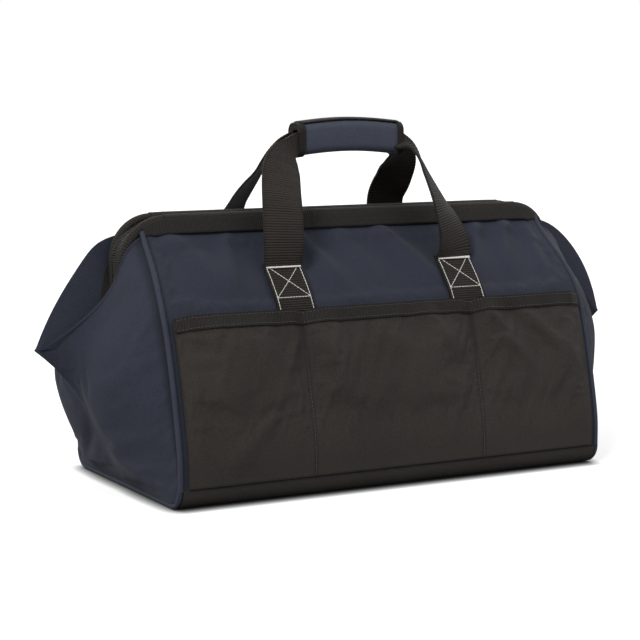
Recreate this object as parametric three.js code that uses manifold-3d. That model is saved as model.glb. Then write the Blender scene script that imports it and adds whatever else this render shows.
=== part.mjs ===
// Zippered tool bag with a hinged wire frame in its mouth.
// Millimetres, +Z up, X along the bag's length, Y through its depth (the front is at -Y).
// The origin is the centre of the base, on the floor.
import * as THREE from "three";
import { mergeVertices } from "three/addons/utils/BufferGeometryUtils.js";
import Module from "manifold-3d";

const solidKit = await Module();
solidKit.setup();

// Base
const baseHalfLength = 225;
const baseHalfDepth = 118;
const baseEdgeRadius = 18;
const fabric = 2.4;
const boardEndInset = 9;
const boardSideInset = 16.5;
const boardThickness = 3;

// Walls, as half depths at named heights, and half lengths at the bottom and at the rail
const seamHeight = 18.4;
const kneeHeight = 50;
const kneeHalfDepth = 116.6;
const pocketHeight = 163;
const pocketHalfDepth = 86.5;
const shoulderHeight = 191;
const shoulderHalfDepth = 67;
const wallHalfLength = 219;
const wallTopHalfLength = 210.5;

// Wire frame and its binding
const railHeight = 245.5;
const railHalfGap = 15;
const rodRadius = 3;
const frameHalfLength = 228;
const cornerRadius = 38;
const pivotHeight = 134;
const tabLength = 22;
const tabThickness = 1.6;
const tabRadius = 9.6;
const tabNeckRadius = 5;
const legHalfGap = 5.5;
const bindingThickness = 1.4;
const bindingGap = 0.4;
const bindingDrop = 14.5;
const bindingLip = 2.5;
const railWrapStart = -10;
const railWrapEnd = 155;
const legWrapOpening = 50;
const railBindingHalfLength = 188;

// How far the wall's top edge and its hem stand back from the rail
const wallTopSetback = 5.2;
const wallTopDrop = 6.5;
const hemSetback = 10.2;

// Rivets at the two frame pivots: the back tab's hole is wide, because its path is only nearly a circle
const rivetRadius = 2.4;
const rivetHeadRadius = 8;
const rivetHead = 1.4;
const rivetFit = 0.3;
const pivotPlay = 3.4;

// Zip
const zipTapeHeight = railHeight - 6.7;
const zipTapeThickness = 1.2;
const zipTapeOuter = 13.6;
const chainOuter = 4.2;
const chainBack = 2.6;
const chainInner = 0.9;
const chainThickness = 2.6;
const toothPitch = 5;
const toothWidth = 2;
const chainHalfLength = 187;
const sliderLength = 15;
const sliderHalfWidth = 6;
const sliderPlate = 1.1;
const sliderWeb = 0.9;
const sliderRestX = 176;
const bailRadius = 3.8;
const bailWire = 0.7;
const pullLength = 26;
const pullHalfWidth = 3.6;
const pullThickness = 1.2;

// Pockets
const pocketFabric = 1.6;
const pocketFullness = 9;
const dividerX = 90;
const pocketBandHeight = 11;
const pocketBandFabric = 1.4;
const pocketSideInset = 3;

// Piping
const pipingRadius = 2.5;

// End gussets, folded outwards into a wing at each end
const wingTipX = 311;
const wingTipHeight = 133;
const wingTopHeight = 221;
const wingFullness = 13;
const foldTuck = 12;
const valleyEdgeX = 237.5;
const gussetFootHeight = 5.6;

// The ridge of each half wing bends towards this point, given as half length, half depth and height
const wingRidge = {
  front_left: [232, 9, 171],
  front_right: [236, 11, 174],
  back_left: [264, 38, 208],
  back_right: [320, 40, 223],
};

// Handles
const webbingHalfWidth = 19;
const webbing = 2.2;
const strapX = 92;
const barTackHeight = 204;
const strapBow = 45;
const gripStartX = -48;
const gripEndX = 65;
const gripHeight = 315;
const gripArch = 4;
const gripHalfHeight = 15;
const gripHalfThickness = 10.5;
const gripWall = 2.8;
const gripCornerRadius = 7;
const gripWebbingHalfWidth = 9;
const gripBinding = 1.1;
const gripBindingLength = 6;
const gripBindingTop = 5;

// Gap kept between pieces that touch
const clearance = 0.35;

const navyFabric = new THREE.MeshStandardMaterial({ color: 0x2e3446, roughness: 0.85, metalness: 0 });
const blackFabric = new THREE.MeshStandardMaterial({ color: 0x2f2d2b, roughness: 0.9, metalness: 0 });
const blackBinding = new THREE.MeshStandardMaterial({ color: 0x201f1f, roughness: 0.8, metalness: 0 });
const blackWebbing = new THREE.MeshStandardMaterial({ color: 0x35322f, roughness: 0.75, metalness: 0 });
const fibreBoard = new THREE.MeshStandardMaterial({ color: 0x1c1c1e, roughness: 0.6, metalness: 0 });
const zincSteel = new THREE.MeshStandardMaterial({ color: 0xb4b7ba, roughness: 0.35, metalness: 1 });
const blackZip = new THREE.MeshStandardMaterial({ color: 0x18181a, roughness: 0.45, metalness: 0 });
const zincCasting = new THREE.MeshStandardMaterial({ color: 0x55575a, roughness: 0.4, metalness: 1 });

const bag = new THREE.Group();

function add(name, geometry, material) {
  const mesh = new THREE.Mesh(geometry, material);
  mesh.name = name;
  bag.add(mesh);
  return mesh;
}

function point(x, y, z) {
  return new THREE.Vector3(x, y, z);
}

function mix(a, b, share) {
  return a + (b - a) * share;
}

function smooth(share) {
  const s = Math.min(1, Math.max(0, share));
  return s * s * (3 - 2 * s);
}

// Closed geometry from vertex rows and triangles
function closedGeometry(vertices, triangles) {
  const geometry = new THREE.BufferGeometry();
  const flat = vertices.flatMap((v) => [v.x, v.y, v.z]);
  geometry.setAttribute("position", new THREE.Float32BufferAttribute(flat, 3));
  geometry.setIndex(triangles);
  geometry.computeVertexNormals();
  return geometry;
}

// Sweeps a section along stations. A section point (p, q) lies at station.at + p * across + q * up,
// and the section runs anticlockwise seen from the far end of the sweep.
function sweep(sectionAt, stations) {
  const vertices = [];
  const triangles = [];
  const sections = stations.map((station, i) => sectionAt(i / (stations.length - 1), i));
  const count = sections[0].length;
  stations.forEach((station, i) => {
    for (const [p, q] of sections[i]) {
      vertices.push(station.at.clone().addScaledVector(station.across, p).addScaledVector(station.up, q));
    }
  });
  for (let i = 0; i + 1 < stations.length; i += 1) {
    for (let j = 0; j < count; j += 1) {
      const next = (j + 1) % count;
      const a = i * count + j;
      const b = i * count + next;
      triangles.push(a, b, b + count, a, b + count, a + count);
    }
  }
  const flat = (section) => section.map(([p, q]) => new THREE.Vector2(p, q));
  const last = (stations.length - 1) * count;
  for (const [a, b, c] of THREE.ShapeUtils.triangulateShape(flat(sections[0]), [])) {
    triangles.push(c, b, a);
  }
  for (const [a, b, c] of THREE.ShapeUtils.triangulateShape(flat(sections.at(-1)), [])) {
    triangles.push(last + a, last + b, last + c);
  }
  return closedGeometry(vertices, triangles);
}

// Sheet with a thickness: the outer face follows surface(u, v) and the inner one lies behind it.
// u to the right and v upwards are seen from outside. A limit moves points that would cross a plane.
function sheet(surface, uShares, rows, thickness, limit = (p) => p) {
  const columns = uShares.length - 1;
  const outer = [];
  for (let j = 0; j <= rows; j += 1) {
    for (const u of uShares) {
      outer.push(surface(u, j / rows));
    }
  }
  const width = columns + 1;
  const faces = [];
  for (let j = 0; j < rows; j += 1) {
    for (let i = 0; i < columns; i += 1) {
      const a = j * width + i;
      faces.push(a, a + 1, a + 1 + width, a, a + 1 + width, a + width);
    }
  }
  const normals = closedGeometry(outer, faces).getAttribute("normal");
  const inner = outer.map((p, i) => {
    const normal = new THREE.Vector3().fromBufferAttribute(normals, i);
    return p.clone().addScaledVector(normal, -thickness);
  });
  const total = outer.length;
  const triangles = [...faces];
  for (let k = 0; k < faces.length; k += 3) {
    triangles.push(total + faces[k], total + faces[k + 2], total + faces[k + 1]);
  }
  const rim = [];
  for (let i = 0; i < columns; i += 1) rim.push(i);
  for (let j = 0; j < rows; j += 1) rim.push(j * width + columns);
  for (let i = columns; i > 0; i -= 1) rim.push(rows * width + i);
  for (let j = rows; j > 0; j -= 1) rim.push(j * width);
  rim.forEach((a, k) => {
    const b = rim[(k + 1) % rim.length];
    triangles.push(a, total + a, total + b, a, total + b, b);
  });
  return closedGeometry([...outer, ...inner].map(limit), triangles);
}

function evenShares(columns) {
  return Array.from({ length: columns + 1 }, (unused, i) => i / columns);
}

// Copy of a geometry mirrored in X, Y or both
function mirrored(geometry, signX, signY) {
  const copy = geometry.clone().scale(signX, signY, 1);
  if (signX * signY < 0) {
    const order = Array.from(copy.getIndex().array);
    for (let k = 0; k < order.length; k += 3) {
      [order[k + 1], order[k + 2]] = [order[k + 2], order[k + 1]];
    }
    copy.setIndex(order);
  }
  return copy;
}

function asSolid(geometry) {
  const bare = geometry.clone();
  bare.deleteAttribute("normal");
  bare.deleteAttribute("uv");
  const merged = mergeVertices(bare);
  const vertProperties = new Float32Array(merged.getAttribute("position").array);
  const triVerts = new Uint32Array(merged.getIndex().array);
  return new solidKit.Manifold(new solidKit.Mesh({ numProp: 3, vertProperties, triVerts }));
}

function asGeometry(solid) {
  const mesh = solid.getMesh();
  const geometry = new THREE.BufferGeometry();
  geometry.setAttribute("position", new THREE.Float32BufferAttribute(mesh.vertProperties, 3));
  geometry.setIndex(Array.from(mesh.triVerts));
  geometry.computeVertexNormals();
  return geometry;
}

function cylinderAlongX(radius, fromX, toX, y, z, sides = 20) {
  const geometry = new THREE.CylinderGeometry(radius, radius, toX - fromX, sides);
  geometry.rotateZ(Math.PI / 2);
  geometry.translate((fromX + toX) / 2, y, z);
  return geometry;
}

function block(fromX, toX, fromY, toY, fromZ, toZ) {
  const geometry = new THREE.BoxGeometry(toX - fromX, toY - fromY, toZ - fromZ);
  geometry.translate((fromX + toX) / 2, (fromY + toY) / 2, (fromZ + toZ) / 2);
  return geometry;
}

function circle(radius, sides) {
  return Array.from({ length: sides }, (unused, k) => {
    const angle = (k / sides) * 2 * Math.PI;
    return [radius * Math.cos(angle), radius * Math.sin(angle)];
  });
}

// Wall profile: half depth against height
const wallTopHalfDepth = railHalfGap + wallTopSetback;
const wallTopHeight = railHeight - wallTopDrop;
const hemHalfDepth = railHalfGap + hemSetback;
const hemHeight = railHeight - bindingDrop;
const profile = new THREE.CatmullRomCurve3([
  point(0, baseHalfDepth, seamHeight),
  point(0, kneeHalfDepth, kneeHeight),
  point(0, pocketHalfDepth, pocketHeight),
  point(0, shoulderHalfDepth, shoulderHeight),
  point(0, hemHalfDepth, hemHeight),
  point(0, wallTopHalfDepth, wallTopHeight),
]);

// Finds the profile's parameter at a height by halving
function profileShare(height) {
  let low = 0;
  let high = 1;
  for (let step = 0; step < 40; step += 1) {
    const middle = (low + high) / 2;
    if (profile.getPoint(middle).z < height) low = middle;
    else high = middle;
  }
  return (low + high) / 2;
}

function halfDepthAt(height) {
  return profile.getPoint(profileShare(height)).y;
}

// Outward direction of the front wall at a height
function wallNormal(height) {
  const slope = profile.getTangent(profileShare(height));
  return point(0, -slope.z, -slope.y).normalize();
}

function wallEndAt(height) {
  const share = smooth((height - pocketHeight) / (wallTopHeight - pocketHeight));
  return mix(wallHalfLength, wallTopHalfLength, share);
}

// A point at a distance in front of the front wall's outer face
function onWall(x, height, lift) {
  const normal = wallNormal(height);
  return point(x, -halfDepthAt(height), height).addScaledVector(normal, lift);
}

function baseBoard() {
  const halfX = baseHalfLength - boardEndInset;
  const halfY = baseHalfDepth - boardSideInset;
  const outline = new THREE.Shape();
  outline.moveTo(-halfX + baseEdgeRadius, -halfY);
  outline.absarc(halfX - baseEdgeRadius, -halfY + baseEdgeRadius, baseEdgeRadius, -Math.PI / 2, 0);
  outline.absarc(halfX - baseEdgeRadius, halfY - baseEdgeRadius, baseEdgeRadius, 0, Math.PI / 2);
  outline.absarc(-halfX + baseEdgeRadius, halfY - baseEdgeRadius, baseEdgeRadius, Math.PI / 2, Math.PI);
  outline.absarc(-halfX + baseEdgeRadius, -halfY + baseEdgeRadius, baseEdgeRadius, Math.PI, 1.5 * Math.PI);
  const geometry = new THREE.ExtrudeGeometry(outline, {
    depth: boardThickness, bevelEnabled: false, curveSegments: 6,
  });
  geometry.translate(0, 0, fabric + clearance);
  return geometry;
}

const basePanelEnd = baseHalfLength - 2 * pipingRadius - clearance;

// Bottom cloth, turned up along the front and back to the wall seams
function basePanel() {
  const steps = 5;
  const inner = baseEdgeRadius - fabric;
  const centre = baseHalfDepth - baseEdgeRadius;
  const outline = [];
  for (let k = 0; k <= steps; k += 1) {
    const angle = (k / steps) * (Math.PI / 2);
    outline.push([centre + baseEdgeRadius * Math.sin(angle), baseEdgeRadius * (1 - Math.cos(angle))]);
  }
  for (let k = steps; k >= 0; k -= 1) {
    const angle = (k / steps) * (Math.PI / 2);
    outline.push([centre + inner * Math.sin(angle), baseEdgeRadius - inner * Math.cos(angle)]);
  }
  const left = outline.map(([y, z]) => [-y, z]).reverse();
  const section = [...outline, ...left];
  const station = (x) => ({ at: point(x, 0, 0), across: point(0, 1, 0), up: point(0, 0, 1) });
  return sweep(() => section, [station(-basePanelEnd), station(basePanelEnd)]);
}

// Tube along points, with a section that keeps one axis
function tube(points, radius, sides, sideways) {
  const stations = points.map((at, i) => {
    const before = points[Math.max(0, i - 1)];
    const after = points[Math.min(points.length - 1, i + 1)];
    const along = after.clone().sub(before).normalize();
    const across = sideways.clone().addScaledVector(along, -sideways.dot(along)).normalize();
    return { at, across, up: along.clone().cross(across) };
  });
  return sweep(() => circle(radius, sides), stations);
}

// Piping along the foot of one end, turned up at both corners
function basePiping() {
  const x = basePanelEnd + clearance + pipingRadius;
  const turn = baseEdgeRadius - pipingRadius;
  const corner = baseHalfDepth - baseEdgeRadius;
  const steps = 4;
  const points = [];
  for (let k = 0; k <= steps; k += 1) {
    const angle = Math.PI / 2 - (k / steps) * (Math.PI / 2);
    points.push(point(x, -corner - turn * Math.sin(angle), baseEdgeRadius - turn * Math.cos(angle)));
  }
  const others = points.map((p) => point(p.x, -p.y, p.z)).reverse();
  return tube([...points, ...others], pipingRadius, 8, point(1, 0, 0));
}

// Front wall
function wall() {
  const cornerX = frameHalfLength - cornerRadius;
  const surface = (u, v) => {
    const side = mix(-1, 1, u);
    const past = Math.max(0, Math.abs(side) * wallTopHalfLength - cornerX);
    const dip = cornerRadius - Math.sqrt(cornerRadius ** 2 - past ** 2);
    const height = mix(seamHeight, wallTopHeight - dip, v);
    return point(side * wallEndAt(height), -halfDepthAt(height), height);
  };
  return sheet(surface, [0, 0.02, 0.05, 0.5, 0.95, 0.98, 1], 18, fabric);
}

// How far the pocket cloth stands off the wall: nothing at its stitch lines, most between them
function pocketLift(x, height) {
  const sideX = wallHalfLength - pocketSideInset;
  const edges = [-sideX, -dividerX, dividerX, sideX];
  const cell = edges.findIndex((edge, k) => k < 3 && x >= edge && x <= edges[k + 1]);
  if (cell < 0) return 0;
  const share = (x - edges[cell]) / (edges[cell + 1] - edges[cell]);
  const rise = smooth((height - seamHeight) / (pocketHeight - seamHeight));
  return pocketFullness * Math.min(1, 3.2 * Math.sin(Math.PI * share)) * rise;
}

function pocketSurface(fromHeight, toHeight, extra) {
  const sideX = wallHalfLength - pocketSideInset;
  return (u, v) => {
    const height = mix(fromHeight, toHeight, v);
    const x = mix(-sideX, sideX, u);
    return onWall(x, height, clearance + pocketLift(x, height) + extra);
  };
}

// Columns of the pocket cloth, closer together beside its four stitch lines
function pocketShares() {
  const sideX = wallHalfLength - pocketSideInset;
  const edges = [-sideX, -dividerX, dividerX, sideX];
  const shares = [0];
  for (let cell = 0; cell < 3; cell += 1) {
    for (const inCell of [0.05, 0.11, 0.5, 0.89, 0.95, 1]) {
      shares.push((mix(edges[cell], edges[cell + 1], inCell) + sideX) / (2 * sideX));
    }
  }
  return shares;
}

function pocketPanel() {
  const surface = pocketSurface(seamHeight + 1, pocketHeight, pocketFabric);
  return sheet(surface, pocketShares(), 7, pocketFabric);
}

function pocketBand() {
  const lift = pocketFabric + clearance + pocketBandFabric;
  const surface = pocketSurface(pocketHeight - pocketBandHeight, pocketHeight, lift);
  return sheet(surface, pocketShares(), 1, pocketBandFabric);
}

// Piping up one end of the front wall
function wallPiping() {
  const steps = 14;
  const points = [];
  for (let k = 0; k <= steps; k += 1) {
    const height = mix(seamHeight + 0.8, wallTopHeight - 6, k / steps);
    const x = wallEndAt(height) + clearance + pipingRadius;
    const at = onWall(x, height, 0);
    points.push(at.addScaledVector(wallNormal(height), 0.8 - pipingRadius));
  }
  return tube(points, pipingRadius, 8, point(1, 0, 0));
}

// Webbing sewn to the wall below a handle
function strapAnchor() {
  const surface = (u, v) => {
    const height = mix(pocketHeight + 1.2, barTackHeight, v);
    return onWall(mix(-webbingHalfWidth, webbingHalfWidth, u), height, clearance + webbing);
  };
  return sheet(surface, [0, 1], 5, webbing);
}

// Binding folded over the straight rail
function railBinding() {
  const inner = rodRadius + bindingGap;
  const outer = inner + bindingThickness;
  const arc = (radius, from, to) => Array.from({ length: 9 }, (unused, k) => {
    const angle = THREE.MathUtils.degToRad(mix(from, to, k / 8));
    return [-railHalfGap + radius * Math.cos(angle), railHeight + radius * Math.sin(angle)];
  });
  const hemY = -hemHalfDepth - 3 * clearance;
  const hemZ = hemHeight;
  const lip = railHeight - rodRadius - bindingLip;
  const section = [
    [hemY - 0.2, hemZ - 0.5],
    ...arc(inner, railWrapEnd, railWrapStart),
    [-railHalfGap + inner, lip],
    [-railHalfGap + outer, lip],
    ...arc(outer, railWrapStart, railWrapEnd),
    [hemY - bindingThickness - 0.2, hemZ],
  ];
  const station = (x) => ({ at: point(x, 0, 0), across: point(0, 1, 0), up: point(0, 0, 1) });
  return sweep(() => section, [station(-railBindingHalfLength), station(railBindingHalfLength)]);
}

function zipTape() {
  const low = zipTapeHeight - zipTapeThickness / 2;
  const inner = -chainOuter - clearance;
  return block(-chainHalfLength, chainHalfLength, -zipTapeOuter, inner, low, low + zipTapeThickness);
}

// One half of the zip's chain: a comb of teeth
function zipChain() {
  const outline = new THREE.Shape();
  const teeth = Math.floor((2 * chainHalfLength) / toothPitch);
  outline.moveTo(-chainHalfLength, -chainOuter);
  outline.lineTo(chainHalfLength, -chainOuter);
  outline.lineTo(chainHalfLength, -chainBack);
  for (let k = teeth - 1; k >= 0; k -= 1) {
    const centre = -chainHalfLength + (k + 0.5) * toothPitch;
    outline.lineTo(centre + toothWidth / 2, -chainBack);
    outline.lineTo(centre + toothWidth / 3, -chainInner);
    outline.lineTo(centre - toothWidth / 3, -chainInner);
    outline.lineTo(centre - toothWidth / 2, -chainBack);
  }
  outline.lineTo(-chainHalfLength, -chainBack);
  const geometry = new THREE.ExtrudeGeometry(outline, { depth: chainThickness, bevelEnabled: false });
  geometry.translate(0, 0, zipTapeHeight - chainThickness / 2);
  return geometry;
}

// A point of the front frame: drop is measured down from the rail, in the plane of the frame
const legDrop = railHeight - pivotHeight - tabLength;

function onFrame(x, drop, shift = 0) {
  const y = -mix(railHalfGap, legHalfGap, drop / legDrop);
  return point(x, y + shift, railHeight - drop);
}

// The corner and leg at +X, from the end of the straight rail down to a drop
function framePath(toDrop, inset, shift, steps = 6) {
  const centreX = frameHalfLength - cornerRadius;
  const radius = cornerRadius - inset;
  const points = [];
  for (let k = 0; k <= steps; k += 1) {
    const angle = Math.PI / 2 - (k / steps) * (Math.PI / 2);
    points.push(onFrame(centreX + radius * Math.cos(angle), cornerRadius - radius * Math.sin(angle), shift));
  }
  points.push(onFrame(frameHalfLength - inset, toDrop, shift));
  return points;
}

// Flattened eye at the foot of a leg, seen along X
function frameTab(fromX, holeRadius) {
  const neck = onFrame(0, legDrop - 3);
  const lean = Math.atan2(neck.z - pivotHeight, neck.y);
  const outline = new THREE.Shape();
  outline.absarc(0, pivotHeight, tabRadius, lean + Math.PI / 2, lean - Math.PI / 2, false);
  outline.absarc(neck.y, neck.z, tabNeckRadius, lean - Math.PI / 2, lean + Math.PI / 2, false);
  const hole = new THREE.Path();
  hole.absarc(0, pivotHeight, holeRadius, 0, 2 * Math.PI, true);
  outline.holes.push(hole);
  const geometry = new THREE.ExtrudeGeometry(outline, {
    depth: tabThickness, bevelEnabled: false, curveSegments: 10,
  });
  geometry.applyMatrix4(new THREE.Matrix4().makeBasis(point(0, 1, 0), point(0, 0, 1), point(1, 0, 0)));
  geometry.translate(fromX, 0, 0);
  return geometry;
}

function frameRod(tabX, holeRadius) {
  const right = framePath(legDrop, 0, 0);
  const left = right.map((p) => point(-p.x, p.y, p.z)).reverse();
  const rod = tube([...left, ...right], rodRadius, 8, point(0, 1, 0));
  const rightTab = frameTab(tabX, holeRadius);
  const leftTab = mirrored(indexed(rightTab), -1, 1);
  return asGeometry(asSolid(rod).add(asSolid(rightTab)).add(asSolid(leftTab)));
}

function indexed(geometry) {
  const bare = geometry.clone();
  bare.deleteAttribute("normal");
  bare.deleteAttribute("uv");
  return mergeVertices(bare);
}

const frontTabX = frameHalfLength + clearance / 2;
const backTabX = frameHalfLength - clearance / 2 - tabThickness;

function rivet() {
  const inner = backTabX - clearance;
  const outer = frontTabX + tabThickness + clearance;
  const parts = [
    cylinderAlongX(rivetRadius, inner - rivetHead / 2, outer + rivetHead / 2, 0, pivotHeight),
    cylinderAlongX(rivetHeadRadius, inner - rivetHead, inner, 0, pivotHeight),
    cylinderAlongX(rivetHeadRadius, outer, outer + rivetHead, 0, pivotHeight),
  ];
  const solid = asSolid(parts[0]).add(asSolid(parts[1])).add(asSolid(parts[2]));
  return asGeometry(solid);
}

// Binding round one corner and leg, open towards the other half of the frame
function legBinding() {
  const inner = rodRadius + bindingGap;
  const outer = inner + bindingThickness;
  const section = [];
  const steps = 8;
  for (let k = 0; k <= steps; k += 1) {
    const angle = THREE.MathUtils.degToRad(mix(legWrapOpening, 360 - legWrapOpening, k / steps));
    section.push([outer * Math.cos(angle), outer * Math.sin(angle)]);
  }
  for (let k = steps; k >= 0; k -= 1) {
    const angle = THREE.MathUtils.degToRad(mix(legWrapOpening, 360 - legWrapOpening, k / steps));
    section.push([inner * Math.cos(angle), inner * Math.sin(angle)]);
  }
  const points = framePath(legDrop - 14, 0, 0);
  const stations = points.map((at, i) => {
    const before = points[Math.max(0, i - 1)];
    const after = points[Math.min(points.length - 1, i + 1)];
    const along = after.clone().sub(before).normalize();
    const across = point(0, 1, 0).addScaledVector(along, -along.y).normalize();
    return { at, across, up: along.clone().cross(across) };
  });
  return sweep(() => section, stations);
}

// Zip tape and chain that turn down the end beside one leg
function endZip() {
  const inset = rodRadius + bindingGap + bindingThickness + 0.9;
  const toDrop = legDrop - 20;
  const points = framePath(toDrop, inset, 0);
  const stations = points.map((at, i) => {
    const before = points[Math.max(0, i - 1)];
    const after = points[Math.min(points.length - 1, i + 1)];
    const along = after.clone().sub(before).normalize();
    const across = point(0, 1, 0);
    return { at: point(at.x, 0, at.z), across, up: along.clone().cross(across).normalize(), y: at.y };
  });
  const half = zipTapeThickness / 2;
  const bead = chainThickness / 2;
  return sweep((share, i) => [
    [stations[i].y, -half],
    [-chainBack, -half],
    [-chainBack, -bead],
    [-chainInner, -bead],
    [-chainInner, bead],
    [-chainBack, bead],
    [-chainBack, half],
    [stations[i].y, half],
  ], stations);
}

// Half of an end gusset, at +X and in front: its outer panel rises from the base to the ridge of the
// wing, and its valley panel runs back from the ridge to the frame's leg. The outer panel is rounded
// across at its foot, and folded from foldStart of the way up to the tip.
function gusset(ridgeBend) {
  const foldShare = 0.62;
  const roundedFoot = 2.2;
  const foldStart = 0.4;
  const foot = (u) => {
    const y = -u * (baseHalfDepth - 6);
    const rise = smooth((u - 0.8) / 0.2) * (seamHeight + 2 - gussetFootHeight);
    return point(baseHalfLength - 0.6, y, gussetFootHeight + rise);
  };
  const wallEdge = (v) => {
    const height = mix(seamHeight + 2, wingTopHeight, v);
    return point(wallEndAt(height) + 3.4, -halfDepthAt(height) + 6, height);
  };
  const tip = point(wingTipX, 0, wingTipHeight);
  const bend = point(ridgeBend[0], -ridgeBend[1], ridgeBend[2]);
  const ridgeCurve = new THREE.QuadraticBezierCurve3(tip, bend, wallEdge(1));
  const ridge = (u) => ridgeCurve.getPoint(u);
  const outerPanel = (u, v) => {
    const centre = foot(0).lerp(tip, v);
    const line = centre.clone().lerp(wallEdge(v), u);
    line.x = mix(centre.x, wallEdge(v).x, u ** mix(roundedFoot, 1, smooth((v - foldStart) / (1 - foldStart))));
    const footGap = foot(u).sub(foot(0).lerp(wallEdge(0), u)).multiplyScalar(1 - v);
    const ridgeGap = ridge(u).sub(tip.clone().lerp(wallEdge(1), u)).multiplyScalar(v ** 3);
    const full = wingFullness * Math.sin(Math.PI * u) ** 1.5 * Math.sin(Math.PI * v);
    const tuck = foldTuck * 6.75 * v * v * (1 - v) * (1 - u * u) ** 2;
    return line.add(footGap).add(ridgeGap).add(point(full - tuck, 0, 0));
  };
  const valleyEdge = (u) => {
    const height = mix(pivotHeight - 2, wingTopHeight - 14, u);
    return point(mix(valleyEdgeX, valleyEdgeX - 12, u ** 5), -mix(1.5, 24, u * u), height);
  };
  const surface = (s, t) => {
    const u = 1 - s;
    if (t <= foldShare) return outerPanel(u, t / foldShare);
    return ridge(u).lerp(valleyEdge(u), (t - foldShare) / (1 - foldShare));
  };
  // Below the base seam the fold stands back, since the side's swing carries it towards the middle
  const foldGap = (z) => clearance / 2 + Math.max(0, seamHeight - z) ** 2 / (2 * baseHalfDepth);
  const limit = (p) => point(p.x, Math.min(p.y, -foldGap(p.z)), p.z);
  return sheet(surface, evenShares(7), 13, fabric, limit);
}

// Centre line of the front handle's webbing, from the left bar tack to the right one
function handlePath() {
  const startY = -halfDepthAt(barTackHeight) - clearance - webbing / 2;
  const gripY = -(gripHalfThickness - gripWall) / 2 + 0.6;
  const low = barTackHeight + webbing + clearance;
  const turn = gripWebbingHalfWidth + clearance;
  const side = (x, gripX, inwards) => [
    point(x, startY, low),
    point(mix(x, gripX, 0.06), mix(startY, -strapBow, 0.7), mix(low, gripHeight, 0.2)),
    point(mix(x, gripX, 0.25), -strapBow, mix(low, gripHeight, 0.4)),
    point(mix(x, gripX, 0.55), mix(-strapBow, gripY, 0.4), mix(low, gripHeight, 0.62)),
    point(mix(x, gripX, 0.88), mix(-strapBow, gripY, 0.88), mix(low, gripHeight, 0.8)),
    point(gripX, gripY, mix(low, gripHeight, 0.93)),
    point(gripX + inwards * turn, gripY, gripHeight - 0.1 * turn),
    point(gripX + inwards * 3 * turn, gripY, gripHeight + gripRise(gripX + inwards * 3 * turn)),
  ];
  const left = side(-strapX, gripStartX - turn, 1);
  const right = side(strapX, gripEndX + turn, -1).reverse();
  return new THREE.CatmullRomCurve3([...left, ...right]);
}

function gripRise(x) {
  const share = (x - gripStartX) / (gripEndX - gripStartX);
  return gripArch * Math.sin(Math.PI * Math.min(1, Math.max(0, share)));
}

// Webbing loop of the front handle, narrowed by folding where it runs through the grip
function handleStrap() {
  const path = handlePath();
  const steps = 44;
  const stations = [];
  for (let k = 0; k <= steps; k += 1) {
    const share = k / steps;
    const at = path.getPointAt(share);
    const along = k === 0 || k === steps ? point(0, 0, k === 0 ? 1 : -1) : path.getTangentAt(share);
    const level = point(0, 1, 0);
    const up = level.addScaledVector(along, -level.dot(along)).normalize();
    stations.push({ at, across: up.clone().cross(along), up });
  }
  const section = (share, i) => {
    const folded = smooth((stations[i].at.z - railHeight - 10) / (gripHeight - railHeight - 26));
    const half = mix(webbingHalfWidth, gripWebbingHalfWidth, folded);
    const thick = mix(webbing, 2 * webbing, folded) / 2;
    return [[-half, -thick], [half, -thick], [half, thick], [-half, thick]];
  };
  return sweep(section, stations);
}

// Half of the wrapped grip, as a padded channel that closes over the webbing
function gripChannel(fromX, toX, lift, thickness, steps) {
  const outline = (grow) => {
    const halfHeight = gripHalfHeight + grow;
    const depth = gripHalfThickness + grow;
    const radius = gripCornerRadius + grow;
    const points = [[-clearance, -halfHeight]];
    for (let k = 0; k <= 4; k += 1) {
      const angle = -Math.PI / 2 - (k / 4) * (Math.PI / 2);
      const y = -depth + radius + radius * Math.cos(angle);
      points.push([y, -halfHeight + radius + radius * Math.sin(angle)]);
    }
    for (let k = 0; k <= 4; k += 1) {
      const angle = Math.PI - (k / 4) * (Math.PI / 2);
      const y = -depth + radius + radius * Math.cos(angle);
      points.push([y, halfHeight - radius + radius * Math.sin(angle)]);
    }
    points.push([-clearance, halfHeight]);
    return points;
  };
  const section = [...outline(lift), ...outline(lift - thickness).reverse()].reverse();
  const stations = Array.from({ length: steps + 1 }, (unused, k) => {
    const x = mix(fromX, toX, k / steps);
    return { at: point(x, 0, gripHeight + gripRise(x)), across: point(0, 1, 0), up: point(0, 0, 1) };
  });
  return sweep(() => section, stations);
}

function gripPad() {
  return gripChannel(gripStartX, gripEndX, 0, gripWall, 8);
}

// Tape sewn round the grip's two ends and along its top
function gripTape() {
  const lift = clearance + gripBinding;
  const whole = asSolid(gripChannel(gripStartX, gripEndX, lift, gripBinding, 8));
  const cut = block(
    gripStartX + gripBindingLength, gripEndX - gripBindingLength,
    -2 * gripHalfThickness, 1,
    gripHeight - 2 * gripHalfHeight, gripHeight + gripArch + gripHalfHeight - gripBindingTop,
  );
  return asGeometry(whole.subtract(asSolid(cut)));
}

const plateTop = zipTapeHeight + chainThickness / 2 + clearance;
const plateBottom = zipTapeHeight - chainThickness / 2 - clearance;
const pullLow = plateTop + sliderPlate + clearance;

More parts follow.
